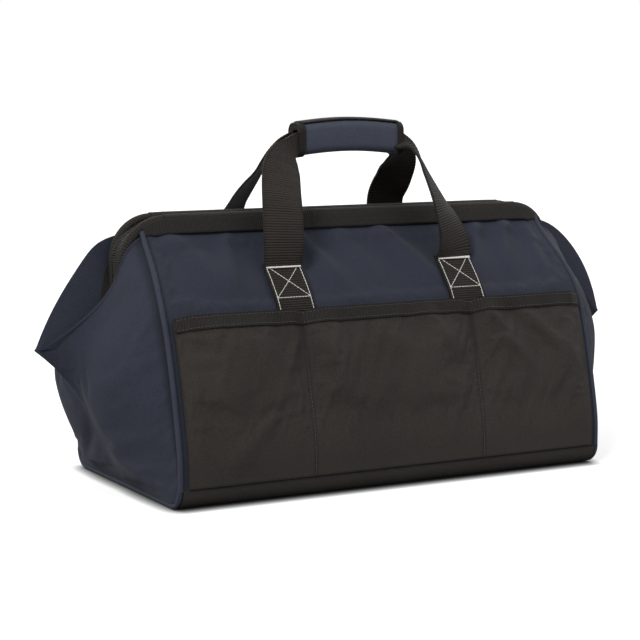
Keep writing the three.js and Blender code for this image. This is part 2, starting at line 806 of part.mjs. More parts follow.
// Slider: two plates joined by a web that runs between the two halves of the chain, and a bail
function zipSlider() {
  const outline = new THREE.Shape();
  const half = sliderLength / 2;
  outline.moveTo(-half, -sliderHalfWidth * 0.72);
  outline.lineTo(half * 0.2, -sliderHalfWidth);
  outline.lineTo(half, -sliderHalfWidth * 0.8);
  outline.lineTo(half, sliderHalfWidth * 0.8);
  outline.lineTo(half * 0.2, sliderHalfWidth);
  outline.lineTo(-half, sliderHalfWidth * 0.72);
  const plate = new THREE.ExtrudeGeometry(outline, { depth: sliderPlate, bevelEnabled: false });
  const top = asSolid(plate.clone().translate(sliderRestX, 0, plateTop));
  const bottom = asSolid(plate.clone().translate(sliderRestX, 0, plateBottom - sliderPlate));
  const web = asSolid(block(
    sliderRestX + half - 4, sliderRestX + half - 0.5,
    -sliderWeb / 2, sliderWeb / 2,
    plateBottom - sliderPlate / 2, plateTop + sliderPlate / 2,
  ));
  const foot = plateTop + sliderPlate / 2;
  const arch = [point(sliderRestX - bailRadius, 0, foot)];
  for (let k = 0; k <= 6; k += 1) {
    const angle = Math.PI - (k / 6) * Math.PI;
    const z = pullLow + pullThickness / 2 + bailRadius * Math.sin(angle);
    arch.push(point(sliderRestX + bailRadius * Math.cos(angle), 0, z));
  }
  arch.push(point(sliderRestX + bailRadius, 0, foot));
  const bail = asSolid(tube(arch, bailWire, 8, point(0, 1, 0)));
  return asGeometry(top.add(bottom).add(web).add(bail));
}

// Pull tab lying flat along the zip, with a slot that the bail passes through
function zipPull() {
  const outline = new THREE.Shape();
  const slotHalf = bailWire + 2 * clearance;
  const nose = slotHalf + 1.1;
  outline.moveTo(-pullLength, -pullHalfWidth * 0.6);
  outline.lineTo(nose, -pullHalfWidth);
  outline.lineTo(nose, pullHalfWidth);
  outline.lineTo(-pullLength, pullHalfWidth * 0.6);
  const slot = new THREE.Path();
  slot.moveTo(slotHalf, -slotHalf);
  slot.lineTo(-slotHalf, -slotHalf);
  slot.lineTo(-slotHalf, slotHalf);
  slot.lineTo(slotHalf, slotHalf);
  outline.holes.push(slot);
  const geometry = new THREE.ExtrudeGeometry(outline, { depth: pullThickness, bevelEnabled: false });
  geometry.translate(sliderRestX - bailRadius, 0, pullLow);
  return geometry;
}

function buildBase() {
  add("base_board", baseBoard(), fibreBoard);
  add("base_panel", basePanel(), blackFabric);
  const piping = basePiping();
  add("base_piping_right", piping, navyFabric);
  add("base_piping_left", mirrored(piping, -1, 1), navyFabric);
}

function buildSide(name, signY) {
  const place = (geometry, signX = 1) => mirrored(indexed(geometry), signX, signY);
  add(`${name}_wall`, place(wall()), navyFabric);
  add(`${name}_pocket_panel`, place(pocketPanel()), blackFabric);
  add(`${name}_pocket_band`, place(pocketBand()), blackBinding);
  add(`${name}_rail_binding`, place(railBinding()), blackBinding);
  add(`${name}_zip_tape`, place(zipTape()), blackBinding);
  add(`${name}_zip_chain`, place(zipChain()), blackZip);
  for (const [end, signX] of [["left", -1], ["right", 1]]) {
    add(`${name}_piping_${end}`, place(wallPiping(), signX), navyFabric);
    add(`${name}_gusset_${end}`, place(gusset(wingRidge[`${name}_${end}`]), signX), navyFabric);
    add(`${name}_strap_anchor_${end}`, place(strapAnchor().translate(signX * strapX, 0, 0)), blackWebbing);
    add(`${name}_leg_binding_${end}`, place(legBinding(), signX), blackBinding);
    add(`${name}_end_zip_${end}`, place(endZip(), signX), blackZip);
  }
  add(`${name}_handle_strap`, place(handleStrap()), blackWebbing);
  add(`${name}_grip_pad`, place(gripPad()), navyFabric);
  add(`${name}_grip_tape`, place(gripTape()), blackBinding);
}

function buildFrames() {
  add("front_frame_rod", frameRod(frontTabX, rivetRadius + rivetFit), zincSteel);
  const back = frameRod(backTabX, rivetRadius + pivotPlay);
  add("back_frame_rod", mirrored(back, 1, -1), zincSteel);
  add("pivot_rivet_right", rivet(), zincSteel);
  add("pivot_rivet_left", mirrored(rivet(), -1, 1), zincSteel);
}

function buildSlider() {
  add("zip_slider", zipSlider(), zincCasting);
  add("zip_pull_tab", zipPull(), zincCasting);
}

buildBase();
buildSide("front", 1);
buildSide("back", -1);
buildFrames();
buildSlider();

export default bag;
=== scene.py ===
import math

import bpy
import numpy as np
from mathutils import Matrix, Vector, noise


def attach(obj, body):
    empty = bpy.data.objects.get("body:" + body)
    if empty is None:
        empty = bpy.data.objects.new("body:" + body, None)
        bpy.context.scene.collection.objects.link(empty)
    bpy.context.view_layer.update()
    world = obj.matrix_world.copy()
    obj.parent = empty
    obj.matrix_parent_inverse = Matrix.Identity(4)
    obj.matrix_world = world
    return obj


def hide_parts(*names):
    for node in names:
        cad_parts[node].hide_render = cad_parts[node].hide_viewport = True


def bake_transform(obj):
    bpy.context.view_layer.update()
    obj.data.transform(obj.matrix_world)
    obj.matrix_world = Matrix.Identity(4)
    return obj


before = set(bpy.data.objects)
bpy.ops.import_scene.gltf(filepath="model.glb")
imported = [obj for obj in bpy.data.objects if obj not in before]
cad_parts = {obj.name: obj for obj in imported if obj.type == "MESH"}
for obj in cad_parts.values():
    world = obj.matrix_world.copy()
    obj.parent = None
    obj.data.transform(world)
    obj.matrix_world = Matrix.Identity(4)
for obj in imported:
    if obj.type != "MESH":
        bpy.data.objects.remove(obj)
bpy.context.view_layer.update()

# shapes are worked out in millimetres for the front and the right end, mirrored, and made in metres
mm = 0.001
ends = (("left", -1), ("right", 1))
corners = [(side, end, signX, signY)
           for side, signY in (("front", 1), ("back", -1)) for end, signX in ends]


# small helps

def mix(a, b, share):
    return a + (b - a) * share


def clamp(share):
    return min(1.0, max(0.0, share))


def span(half, share):
    return mix(-half, half, share)


def smooth(share):
    s = clamp(share)
    return s * s * (3 - 2 * s)


def rise(value, start, width):  # 0 up to start, 1 from start + width on
    return smooth((value - start) / width)


def fromEdge(share):  # how far a share is from the nearer edge of its sheet
    return min(share, 1 - share)


def deselectAll():
    bpy.ops.object.select_all(action="DESELECT")


def makeActive(piece):
    deselectAll()
    piece.select_set(True)
    bpy.context.view_layer.objects.active = piece


def shadeSmooth(piece, angle=50):
    makeActive(piece)
    bpy.ops.object.shade_smooth_by_angle(angle=math.radians(angle))


def curvePoint(points, share):  # a smooth curve through points, as a batten bends
    last = len(points) - 1
    place = clamp(share) * last
    i = min(int(place), last - 1)
    w = place - i
    p1, p2 = points[i], points[i + 1]
    p0 = points[i - 1] if i > 0 else p1 * 2 - p2
    p3 = points[i + 2] if i + 2 <= last else p2 * 2 - p1
    d0, d1, d2 = (max((b - a).length, 1e-6) ** 0.5 for a, b in ((p0, p1), (p1, p2), (p2, p3)))
    t1 = ((p1 - p0) / d0 - (p2 - p0) / (d0 + d1) + (p2 - p1) / d1) * d1
    t2 = ((p2 - p1) / d1 - (p3 - p1) / (d1 + d2) + (p3 - p2) / d2) * d1
    square, cube = p2 * 3 - p1 * 3 - t1 * 2 - t2, p1 * 2 - p2 * 2 + t1 + t2
    return p1 + t1 * w + square * w * w + cube * w ** 3


def pathLengths(points):  # the length run up to each point
    steps = [(b - a).length for a, b in zip(points, points[1:])]
    return np.concatenate([[0], np.cumsum(steps)])


def evenCurves(curves, count, samples):
    # the curves through these points, at even steps of the first one's length, and that length
    paths = [[curvePoint(points, k / samples) for k in range(samples + 1)] for points in curves]
    lengths = pathLengths(paths[0])
    wanted = np.linspace(0, lengths[-1], count + 1)
    even = [zip(*(np.interp(wanted, lengths, [p[axis] for p in path]) for axis in range(3)))
            for path in paths]
    return [[Vector(p) for p in path] for path in even], lengths[-1]


def newSheet(name, grid, surface, size):
    # a grid primitive shaped to surface(u, v); its UVs are the cloth's own millimetres, in metres
    deselectAll()
    bpy.ops.mesh.primitive_grid_add(x_subdivisions=grid[0], y_subdivisions=grid[1], size=1)
    piece = bpy.context.object
    piece.name = name
    mesh = piece.data
    mesh.name = name
    shares = [(vert.co.x + 0.5, vert.co.y + 0.5) for vert in mesh.vertices]
    for vert, (u, v) in zip(mesh.vertices, shares):
        vert.co = Vector(surface(u, v)) * mm
    layer = mesh.uv_layers.active.data
    for loop in mesh.loops:
        u, v = shares[loop.vertex_index]
        layer[loop.index].uv = (u * size[0] * mm, v * size[1] * mm)
    mesh.update()
    return piece


def sheetShares(piece):  # u and v of each vertex, read back from the UVs
    layer = piece.data.uv_layers.active.data
    top = [max(layer[k].uv[axis] for k in range(len(layer))) for axis in (0, 1)]
    shares = [(0.0, 0.0)] * len(piece.data.vertices)
    for loop in piece.data.loops:
        u, v = layer[loop.index].uv
        shares[loop.vertex_index] = (u / top[0], v / top[1])
    return shares


def markPaintedShade(piece, darkness):  # painted shade along seams and edges, as darkness(u, v) on the sheet's own shares, 0 to 1
    values = [darkness(u, v) for u, v in sheetShares(piece)]
    seam = piece.data.attributes.new("seam", "FLOAT", "POINT")
    seam.data.foreach_set("value", values)


def settle(piece, cloth, sewn):
    # lets a sheet that is cut a little full find its own folds, with sewn(u, v) held in place
    before = [(vert.co.copy(), vert.normal.copy()) for vert in piece.data.vertices]
    group = piece.vertex_groups.new(name="sewn")
    for k, (u, v) in enumerate(sheetShares(piece)):
        group.add([k], clamp(sewn(u, v)), "REPLACE")
    makeActive(piece)
    modifier = piece.modifiers.new("cloth", "CLOTH")
    rules = modifier.settings
    rules.quality = cloth["quality"]
    rules.mass = cloth["mass"]
    rules.tension_stiffness = rules.compression_stiffness = cloth["stiffness"]
    rules.shear_stiffness = cloth["stiffness"] / 3
    rules.bending_stiffness = cloth["bending"]
    rules.shrink_min = -cloth["full"]
    rules.vertex_group_mass = "sewn"
    rules.use_pressure = True
    rules.uniform_pressure_force = cloth["pressure"]
    rules.effector_weights.gravity = cloth["gravity"]
    modifier.point_cache.frame_end = cloth["frames"]
    for frameNumber in range(1, cloth["frames"] + 1):
        bpy.context.scene.frame_set(frameNumber)
    bpy.ops.object.modifier_apply(modifier="cloth")
    bpy.context.scene.frame_set(1)
    piece.vertex_groups.clear()
    mostOut, mostIn = cloth["capOut"] * mm, cloth["capIn"] * mm
    for vert, (place, normal) in zip(piece.data.vertices, before):
        move = vert.co - place
        out = move.dot(normal)
        move += normal * (min(mostOut, max(-mostIn, out)) - out)
        if move.length > mostOut:
            move *= mostOut / move.length
        vert.co = place + move
    piece.data.update()
    print(f"{piece.name} settled")


def thicken(piece, thickness, levels=1, rimCrease=0.85):
    solid = piece.modifiers.new("thickness", "SOLIDIFY")
    solid.thickness = thickness * mm
    solid.offset = -1
    solid.edge_crease_outer = solid.edge_crease_rim = rimCrease
    if levels:
        rounded = piece.modifiers.new("smoothness", "SUBSURF")
        rounded.levels = levels
        rounded.render_levels = levels
    makeActive(piece)
    for modifier in list(piece.modifiers):
        bpy.ops.object.modifier_apply(modifier=modifier.name)
    shadeSmooth(piece)


def mirrorCopy(piece, name, signX, signY):
    copy = piece.copy()
    copy.data = piece.data.copy()
    copy.name = name
    copy.data.name = name
    bpy.context.scene.collection.objects.link(copy)
    copy.data.transform(Matrix.Diagonal((signX, signY, 1, 1)))
    if signX * signY < 0:
        copy.data.flip_normals()
    return copy


def newCord(name, points, radius, resolution=3):
    deselectAll()
    bpy.ops.curve.primitive_nurbs_path_add()
    piece = bpy.context.object
    piece.name = name
    curve = piece.data
    curve.splines.clear()
    spline = curve.splines.new("POLY")
    spline.points.add(len(points) - 1)
    for spot, p in zip(spline.points, points):
        spot.co = (p.x * mm, p.y * mm, p.z * mm, 1)
    curve.dimensions = "3D"
    curve.twist_mode = "MINIMUM"
    curve.bevel_depth = radius * mm
    curve.bevel_resolution = resolution
    curve.use_fill_caps = True
    makeActive(piece)
    bpy.ops.object.convert(target="MESH")
    piece = bpy.context.object
    shadeSmooth(piece, 60)
    piece.data.name = name
    return piece


def newStitch(length, radius):  # one stitch along X, its ends rounded
    deselectAll()
    bpy.ops.mesh.primitive_cylinder_add(vertices=6, radius=radius * mm, depth=length * mm)
    stitch = bpy.context.object
    bpy.ops.object.mode_set(mode="EDIT")
    bpy.ops.mesh.select_all(action="SELECT")
    bpy.ops.mesh.bevel(offset=0.4 * radius * mm, segments=1)
    bpy.ops.object.mode_set(mode="OBJECT")
    stitch.data.transform(Matrix.Rotation(math.pi / 2, 4, "Y"))
    return stitch


def copyAlong(name, template, places):  # one mesh with a copy of the template at each place
    shape = np.array([v.co for v in template.data.vertices]).reshape(-1, 3)
    faces = [list(p.vertices) for p in template.data.polygons]
    points, polygons = [], []
    for place in places:
        turn = np.array(place)
        start = len(points)
        points.extend((shape @ turn[:3, :3].T + turn[:3, 3]).tolist())
        polygons.extend([[start + i for i in face] for face in faces])
    mesh = bpy.data.meshes.new(name)
    mesh.from_pydata(points, [], polygons)
    piece = bpy.data.objects.new(name, mesh)
    bpy.context.scene.collection.objects.link(piece)
    shadeSmooth(piece)
    return piece


def placeAt(along, across, up, at):
    place = Matrix((along, across, up)).transposed().to_4x4()
    place.translation = at * mm
    return place


def stitchPlaces(path, pitch, lift=0.0):
    # places for stitches along path, a list of (point, outward direction) in millimetres
    lengths = pathLengths([point for point, out in path])
    count = max(1, round(lengths[-1] / pitch))
    places = []
    for k in range(count):
        at = (k + 0.5) * lengths[-1] / count
        i = max(min(int(np.searchsorted(lengths, at)) - 1, len(path) - 2), 0)
        share = (at - lengths[i]) / max(lengths[i + 1] - lengths[i], 1e-9)
        here = path[i][0].lerp(path[i + 1][0], share)
        out = path[i][1].lerp(path[i + 1][1], share).normalized()
        along = (path[i + 1][0] - path[i][0]).normalized()
        side = out.cross(along).normalized()
        out = along.cross(side)
        places.append(placeAt(along, side, out, here + out * lift))
    return places


def dress(piece, material, body=None, nodes=()):
    piece.data.materials.clear()
    piece.data.materials.append(material)
    if nodes:
        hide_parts(*nodes)
    if body:
        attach(piece, body)


def bothSides(piece, stem, material, node=None, body="side"):
    # the front piece and its copy for the back
    back = mirrorCopy(piece, f"back_{stem}", 1, -1)
    for side, shown in (("front", piece), ("back", back)):
        dress(shown, material, f"{side}_{body}", [f"{side}_{node}"] if node else ())


def atCorner(piece, stem, side, end, material, body=None, node=None):
    # a copy of the front right piece for one of the corners
    signX, signY = (-1 if end == "left" else 1), (-1 if side == "back" else 1)
    shown = mirrorCopy(piece, f"{side}_{stem}_{end}", signX, signY)
    dress(shown, material, body and f"{side}_{body}", [f"{side}_{node}_{end}"] if node else ())
    return shown


def removeAll(*pieces):
    for piece in pieces:
        bpy.data.objects.remove(piece)


# materials

def fill(tree, item, inputs):  # sets each input, or links it to an output of another node
    for key, value in inputs.items():
        if isinstance(value, bpy.types.NodeSocket):
            tree.links.new(value, item.inputs[key])
        else:
            item.inputs[key].default_value = value


def addNode(tree, kind, inputs=None, **values):
    item = tree.nodes.new(kind)
    for key, value in values.items():
        setattr(item, key, value)
    fill(tree, item, inputs or {})
    return item.outputs


def calc(tree, operation, a, b=0):
    return addNode(tree, "ShaderNodeMath", {0: a, 1: b}, operation=operation)[0]


def newMaterial(look):
    material = bpy.data.materials.new(look["name"])
    material.use_nodes = True
    tree = material.node_tree
    shader = tree.nodes["Principled BSDF"]
    fill(tree, shader, {
        "Roughness": look["roughness"], "Metallic": look.get("metallic", 0),
        "Specular IOR Level": look.get("gloss", 0.5), "Sheen Weight": look.get("sheen", 0),
        "Sheen Roughness": 0.45})
    return material, tree, shader


def colourMix(tree, share, first, second, blend="MIX"):  # of two colours, or outputs of nodes
    first, second = ((*tone, 1) if isinstance(tone, tuple) else tone for tone in (first, second))
    return addNode(tree, "ShaderNodeMix", {"Factor": share, "A": first, "B": second},
                   data_type="RGBA", blend_type=blend)["Result"]


def noiseAt(tree, scale, detail):
    place = addNode(tree, "ShaderNodeTexCoord")["Object"]
    inputs = {"Vector": place, "Scale": scale, "Detail": detail}
    return addNode(tree, "ShaderNodeTexNoise", inputs)["Fac"]


def ripples(tree, *pitches):  # waves across and along a cloth, by its UVs
    place = addNode(tree, "ShaderNodeTexCoord")["UV"]
    axes = addNode(tree, "ShaderNodeSeparateXYZ", {"Vector": place})
    return [calc(tree, "SINE", calc(tree, "MULTIPLY", axes[axis], 2 * math.pi / (pitch * mm)))
            for axis, pitch in zip("XY", pitches)]


def addLayer(tree, tone, pattern, depth, middle=0.0):
    if middle:
        pattern = calc(tree, "SUBTRACT", pattern, middle)
    return calc(tree, "ADD", tone, calc(tree, "MULTIPLY", pattern, depth))


def finish(parts, look, tone, height):
    material, tree, shader = parts
    colour = colourMix(tree, tone, look["dark"], look["light"])
    # painted shade: the seam attribute darkens the colour along seams, edges and feet, standing in for
    # the shade that falls there
    if "paintedSeamShade" in look:
        seam = addNode(tree, "ShaderNodeAttribute", attribute_name="seam")["Fac"]
        colour = colourMix(tree, seam, colour, (look["paintedSeamShade"],) * 3, "MULTIPLY")
    bump = addNode(tree, "ShaderNodeBump", {
        "Strength": look["bump"], "Distance": look["bumpDepth"] * mm, "Height": height})
    fill(tree, shader, {"Base Color": colour, "Normal": bump["Normal"]})
    return material


def wovenCloth(look):
    look = {
        "pitch": 1.15, "grain": 650, "weaveTone": 0.16, "fineTone": 1.1, "broadTone": 0.6,
        "broadGrain": 9, "paintedSeamShade": 0.3, "bumpDepth": 0.4, "fineBump": 0.8, **look}
    parts = newMaterial(look)
    tree = parts[1]
    weave = calc(tree, "MULTIPLY", *ripples(tree, look["pitch"], look["pitch"]))
    fine = noiseAt(tree, look["grain"], 3)
    tone = addLayer(tree, 0.5, weave, look["weaveTone"])
    tone = addLayer(tree, tone, fine, look["fineTone"], 0.5)
    tone = addLayer(tree, tone, noiseAt(tree, look["broadGrain"], 2), look["broadTone"], 0.5)
    return finish(parts, look, tone, addLayer(tree, weave, fine, look["fineBump"]))


def ribbedTape(look):  # ribs run across the tape, so they follow its length in V
    look = {
        "grain": 700, "threadTone": 0.08, "fineTone": 1.0, "paintedSeamShade": 0.35, "bumpDepth": 0.5,
        "threadBump": 0.3, "sheen": 0.02, **look}
    parts = newMaterial(look)
    tree = parts[1]
    thread, rib = ripples(tree, look["threadPitch"], look["pitch"])
    tone = addLayer(tree, 0.5, rib, look["ribTone"])
    tone = addLayer(tree, tone, thread, look["threadTone"])
    tone = addLayer(tree, tone, noiseAt(tree, look["grain"], 3), look["fineTone"], 0.5)
    return finish(parts, look, tone, addLayer(tree, rib, thread, look["threadBump"]))


def plainFinish(look):
    parts = newMaterial(look)
    fine = noiseAt(parts[1], look["grain"], 4)
    return finish(parts, {"bumpDepth": 0.2, **look}, fine, fine)


navyCloth = wovenCloth({
    "name": "navy polyester cloth", "dark": (0.015, 0.018, 0.0285), "light": (0.034, 0.0385, 0.056),
    "bump": 0.4, "roughness": 0.72, "sheen": 0.04, "gloss": 0.14,
})
pipingCloth = wovenCloth({
    "name": "navy piping cloth", "dark": (0.016, 0.0195, 0.032), "light": (0.034, 0.0395, 0.060),
    "bump": 0.2, "roughness": 0.66, "sheen": 0.06, "gloss": 0.2,
})
# painted light: a lighter copy of the navy cloth, standing in for the light on the grip's upright front
gripClothPaintedLighter = wovenCloth({
    "name": "navy grip cloth painted lighter", "dark": (0.038, 0.044, 0.064), "light": (0.071, 0.079, 0.106),
    "bump": 0.35, "roughness": 0.72, "sheen": 0.05, "gloss": 0.16,
})
blackCloth = wovenCloth({
    "name": "black polyester cloth", "dark": (0.019, 0.0164, 0.0146),
    "light": (0.047, 0.041, 0.0365), "pitch": 1.3, "grain": 600,
    "bump": 0.6, "roughness": 0.78, "sheen": 0.04, "gloss": 0.16,
})
blackBinding = ribbedTape({
    "name": "black binding tape", "dark": (0.0075, 0.0065, 0.0058), "light": (0.026, 0.0228, 0.0205),
    "pitch": 2.2, "threadPitch": 0.9, "ribTone": 0.28, "bump": 0.5, "roughness": 0.7, "gloss": 0.14,
})
blackWebbing = ribbedTape({
    "name": "black ribbed webbing", "dark": (0.007, 0.0057, 0.0048), "light": (0.030, 0.0252, 0.0218),
    "pitch": 2.3, "threadPitch": 1.5, "ribTone": 0.35, "bump": 0.6, "roughness": 0.62, "gloss": 0.15,
})
whiteThread = plainFinish({
    "name": "white sewing thread", "dark": (0.50, 0.48, 0.44), "light": (0.82, 0.80, 0.75),
    "grain": 900, "bump": 0.3, "roughness": 0.6,
})
blackThread = plainFinish({
    "name": "black sewing thread", "dark": (0.026, 0.023, 0.021), "light": (0.066, 0.060, 0.054),
    "grain": 900, "bump": 0.3, "roughness": 0.5,
})
zipNylon = plainFinish({
    "name": "black nylon zip coil", "dark": (0.030, 0.028, 0.025), "light": (0.085, 0.080, 0.072),
    "grain": 400, "bump": 0.1, "roughness": 0.4,
})
zincSteel = plainFinish({
    "name": "zinc plated steel", "dark": (0.42, 0.43, 0.44), "light": (0.62, 0.63, 0.64),
    "grain": 220, "bump": 0.08, "roughness": 0.34, "metallic": 1.0,
})
zincCasting = plainFinish({
    "name": "painted zinc casting", "dark": (0.020, 0.020, 0.021), "light": (0.040, 0.040, 0.042),
    "grain": 260, "bump": 0.1, "roughness": 0.32, "metallic": 0.6,
})
fibreBoard = plainFinish({
    "name": "black fibre board", "dark": (0.010, 0.010, 0.011), "light": (0.024, 0.024, 0.025),
    "grain": 300, "bump": 0.4, "roughness": 0.6,
})
print("materials made")


# the bag's own sizes, in millimetres; the profile is the half depth at each height

bag = {
    "halfLength": 225, "halfDepth": 118, "edgeRadius": 18, "cloth": 2.4, "seamHeight": 18.4,
    "wallHalfLength": 219, "wallTopHalfLength": 210.5, "pocketHeight": 163,
    "railHeight": 245.5, "railHalfGap": 15, "frameHalfLength": 228, "cornerRadius": 38,
    "legDrop": 89.5, "legHalfGap": 5.5, "wallTopHeight": 239,
    "profile": [(118, 18.4), (116.6, 50), (86.5, 163), (67, 191), (25.2, 231), (20.2, 239)],
    "gap": 0.35,
}
profilePoints = [Vector((0, y, z)) for y, z in bag["profile"]]
profileTable = np.array([tuple(curvePoint(profilePoints, k / 400))[1:] for k in range(401)])
baseFlat = bag["halfDepth"] - bag["edgeRadius"]
clothRules = {
    "quality": 6, "frames": 24, "mass": 0.15, "stiffness": 12, "bending": 0.8, "pressure": 0.0,
    "gravity": 0.3,
}


def halfDepthAt(height):
    return float(np.interp(height, profileTable[:, 1], profileTable[:, 0]))


def wallNormal(height, step=2):
    slope = (halfDepthAt(height + step) - halfDepthAt(height - step)) / (2 * step)
    return Vector((0, -1, -slope)).normalized()


def wallEndAt(height):
    share = rise(height, bag["pocketHeight"], bag["wallTopHeight"] - bag["pocketHeight"])
    return mix(bag["wallHalfLength"], bag["wallTopHalfLength"], share)


def onWall(x, height, lift):
    return Vector((x, -halfDepthAt(height), height)) + wallNormal(height) * lift


dragShape = {"startWidth": 0.7, "endWidth": 1.5, "fadeIn": (-0.25, 0.4), "fadeOut": (0.45, 0.75)}


def dragLift(x, height, drags):
    # soft folds that the handles and seams pull into the cloth, each given as
    # (x, height) to (x, height), width, depth
    lift = 0.0
    for (x0, z0), (x1, z1), width, depth in drags:
        run = (x - x0) * (x1 - x0) + (height - z0) * (z1 - z0)
        share = run / ((x1 - x0) ** 2 + (z1 - z0) ** 2)
        near = clamp(share)
        off = math.hypot(x - mix(x0, x1, near), height - mix(z0, z1, near))
        off /= width * mix(dragShape["startWidth"], dragShape["endWidth"], near)
        fade = rise(share, *dragShape["fadeIn"]) * (1 - rise(share, *dragShape["fadeOut"]))
        lift += depth * math.exp(-off * off) * fade
    return lift


def cornerDip(x):  # how far the frame's corner drops below the rail
    radius = bag["cornerRadius"]
    past = min(max(0.0, abs(x) - (bag["frameHalfLength"] - radius)), radius)
    return radius - math.sqrt(radius ** 2 - past ** 2)


# base

baseCloth = {  # its hem stands behind the foot of each wall
    "columns": 90, "flatSteps": 22, "endInset": 5.35, "size": (440, 290),
    "hem": [(-115.2, 25), (-115.3, 20.6), (-116.6, 19.2)],
}
baseHalf = bag["halfLength"] - baseCloth["endInset"]


def footArc(radius, steps=8):  # round the front edge of the base, down to its underside
    angles = [math.pi / 2 * (1 - k / steps) for k in range(steps + 1)]
    return [(-baseFlat - radius * math.sin(angle), bag["edgeRadius"] - radius * math.cos(angle))
            for angle in angles]


def frontAndBack(edge, flat):  # the front edge, the flat underside and the back edge
    return edge + flat + [(-y, z) for y, z in reversed(edge)]


baseLine = frontAndBack(
    baseCloth["hem"] + footArc(bag["edgeRadius"]),
    [(y, 0.0) for y in np.linspace(-baseFlat, baseFlat, baseCloth["flatSteps"])[1:-1]])


def baseSurface(u, v):
    y, z = baseLine[round((1 - v) * (len(baseLine) - 1))]
    return span(baseHalf, u), y, z


baseGrid = (baseCloth["columns"], len(baseLine) - 1)
basePiece = newSheet("base_cloth", baseGrid, baseSurface, baseCloth["size"])
thicken(basePiece, bag["cloth"], 0)
dress(basePiece, blackCloth, "root", ["base_panel"])

piping = {
    "radius": 2.5, "flatHalf": 90, "flatSteps": 19, "steps": 40,
    "footBelow": 0.6, "topBelow": 2, "lift": 0.8,
}


def basePipingPath(signX):
    x, radius = signX * (baseHalf + bag["gap"] + piping["radius"]), piping["radius"]
    places = np.linspace(-piping["flatHalf"], piping["flatHalf"], piping["flatSteps"])
    line = frontAndBack(footArc(bag["edgeRadius"] - radius), [(y, radius) for y in places])
    return [Vector((x, y, z)) for y, z in line]


for end, signX in ends:
    piece = newCord(f"base_piping_cord_{end}", basePipingPath(signX), piping["radius"])
    dress(piece, pipingCloth, "root", [f"base_piping_{end}"])
print("base made")


# walls

wall = {
    "grid": (130, 66), "size": (438, 250), "dents": 2.6, "dentSize": 75, "seed": 3.7,
    "flatEdge": 0.12, "flatFoot": 0.3, "underPiping": 0.9, "paintedSeamShade": 0.9, "seam": (1.2, 1.8),
    "freeEnds": 0.03, "freeFoot": (0.66, 0.08), "freeTop": (0.03, 0.06),
    "dragEnds": 0.05, "dragTop": 0.06,
    "drags": [
        ((-196, 234), (-134, 170), 12, 6.0), ((-132, 230), (-152, 178), 8, 4.4),
        ((-66, 234), (-24, 170), 8, 6.4), ((-16, 232), (6, 184), 7, 3.6),
        ((26, 234), (72, 176), 8, 7.0), ((140, 230), (106, 172), 8, 6.6),
        ((174, 234), (142, 176), 8, 7.0), ((198, 228), (188, 172), 7, 4.0),
    ],
    "folds": {**clothRules, "full": 0.03, "capOut": 3.5, "capIn": 3},
}


def wallSurface(u, v):
    side, size = span(1, u), wall["dentSize"]
    dip = cornerDip(side * bag["wallTopHalfLength"])
    height = mix(bag["seamHeight"], bag["wallTopHeight"] - dip, v)
    edge = smooth((1 - abs(side)) / wall["flatEdge"]) * smooth((1 - v) / wall["flatEdge"])
    edge *= smooth(v / wall["flatFoot"])
    spot = Vector((side * bag["wallHalfLength"] / size, height / size, wall["seed"]))
    x = side * (wallEndAt(height) + wall["underPiping"])
    return onWall(x, height, noise.noise(spot) * wall["dents"] * edge)


# painted shade along the sewn ends of the wall
def wallPaintedShade(u, v):
    nearEnd = fromEdge(u) * 2 * bag["wallHalfLength"]
    return wall["paintedSeamShade"] * (1 - rise(nearEnd, *wall["seam"]))


def wallSewn(u, v):  # free only above the pockets
    free = smooth(fromEdge(u) / wall["freeEnds"]) * rise(v, *wall["freeFoot"])
    return 1 - free * rise(1 - v, *wall["freeTop"])


wallPiece = newSheet("front_wall_cloth", wall["grid"], wallSurface, wall["size"])
markPaintedShade(wallPiece, wallPaintedShade)
settle(wallPiece, wall["folds"], wallSewn)
for vert, (u, v) in zip(wallPiece.data.vertices, sheetShares(wallPiece)):
    x, height = vert.co.x / mm, vert.co.z / mm
    held = smooth(fromEdge(u) / wall["dragEnds"]) * smooth((1 - v) / wall["dragTop"])
    vert.co += wallNormal(height) * (dragLift(x, height, wall["drags"]) * held * mm)
thicken(wallPiece, bag["cloth"])
bothSides(wallPiece, "wall_cloth", navyCloth, "wall")


# pockets

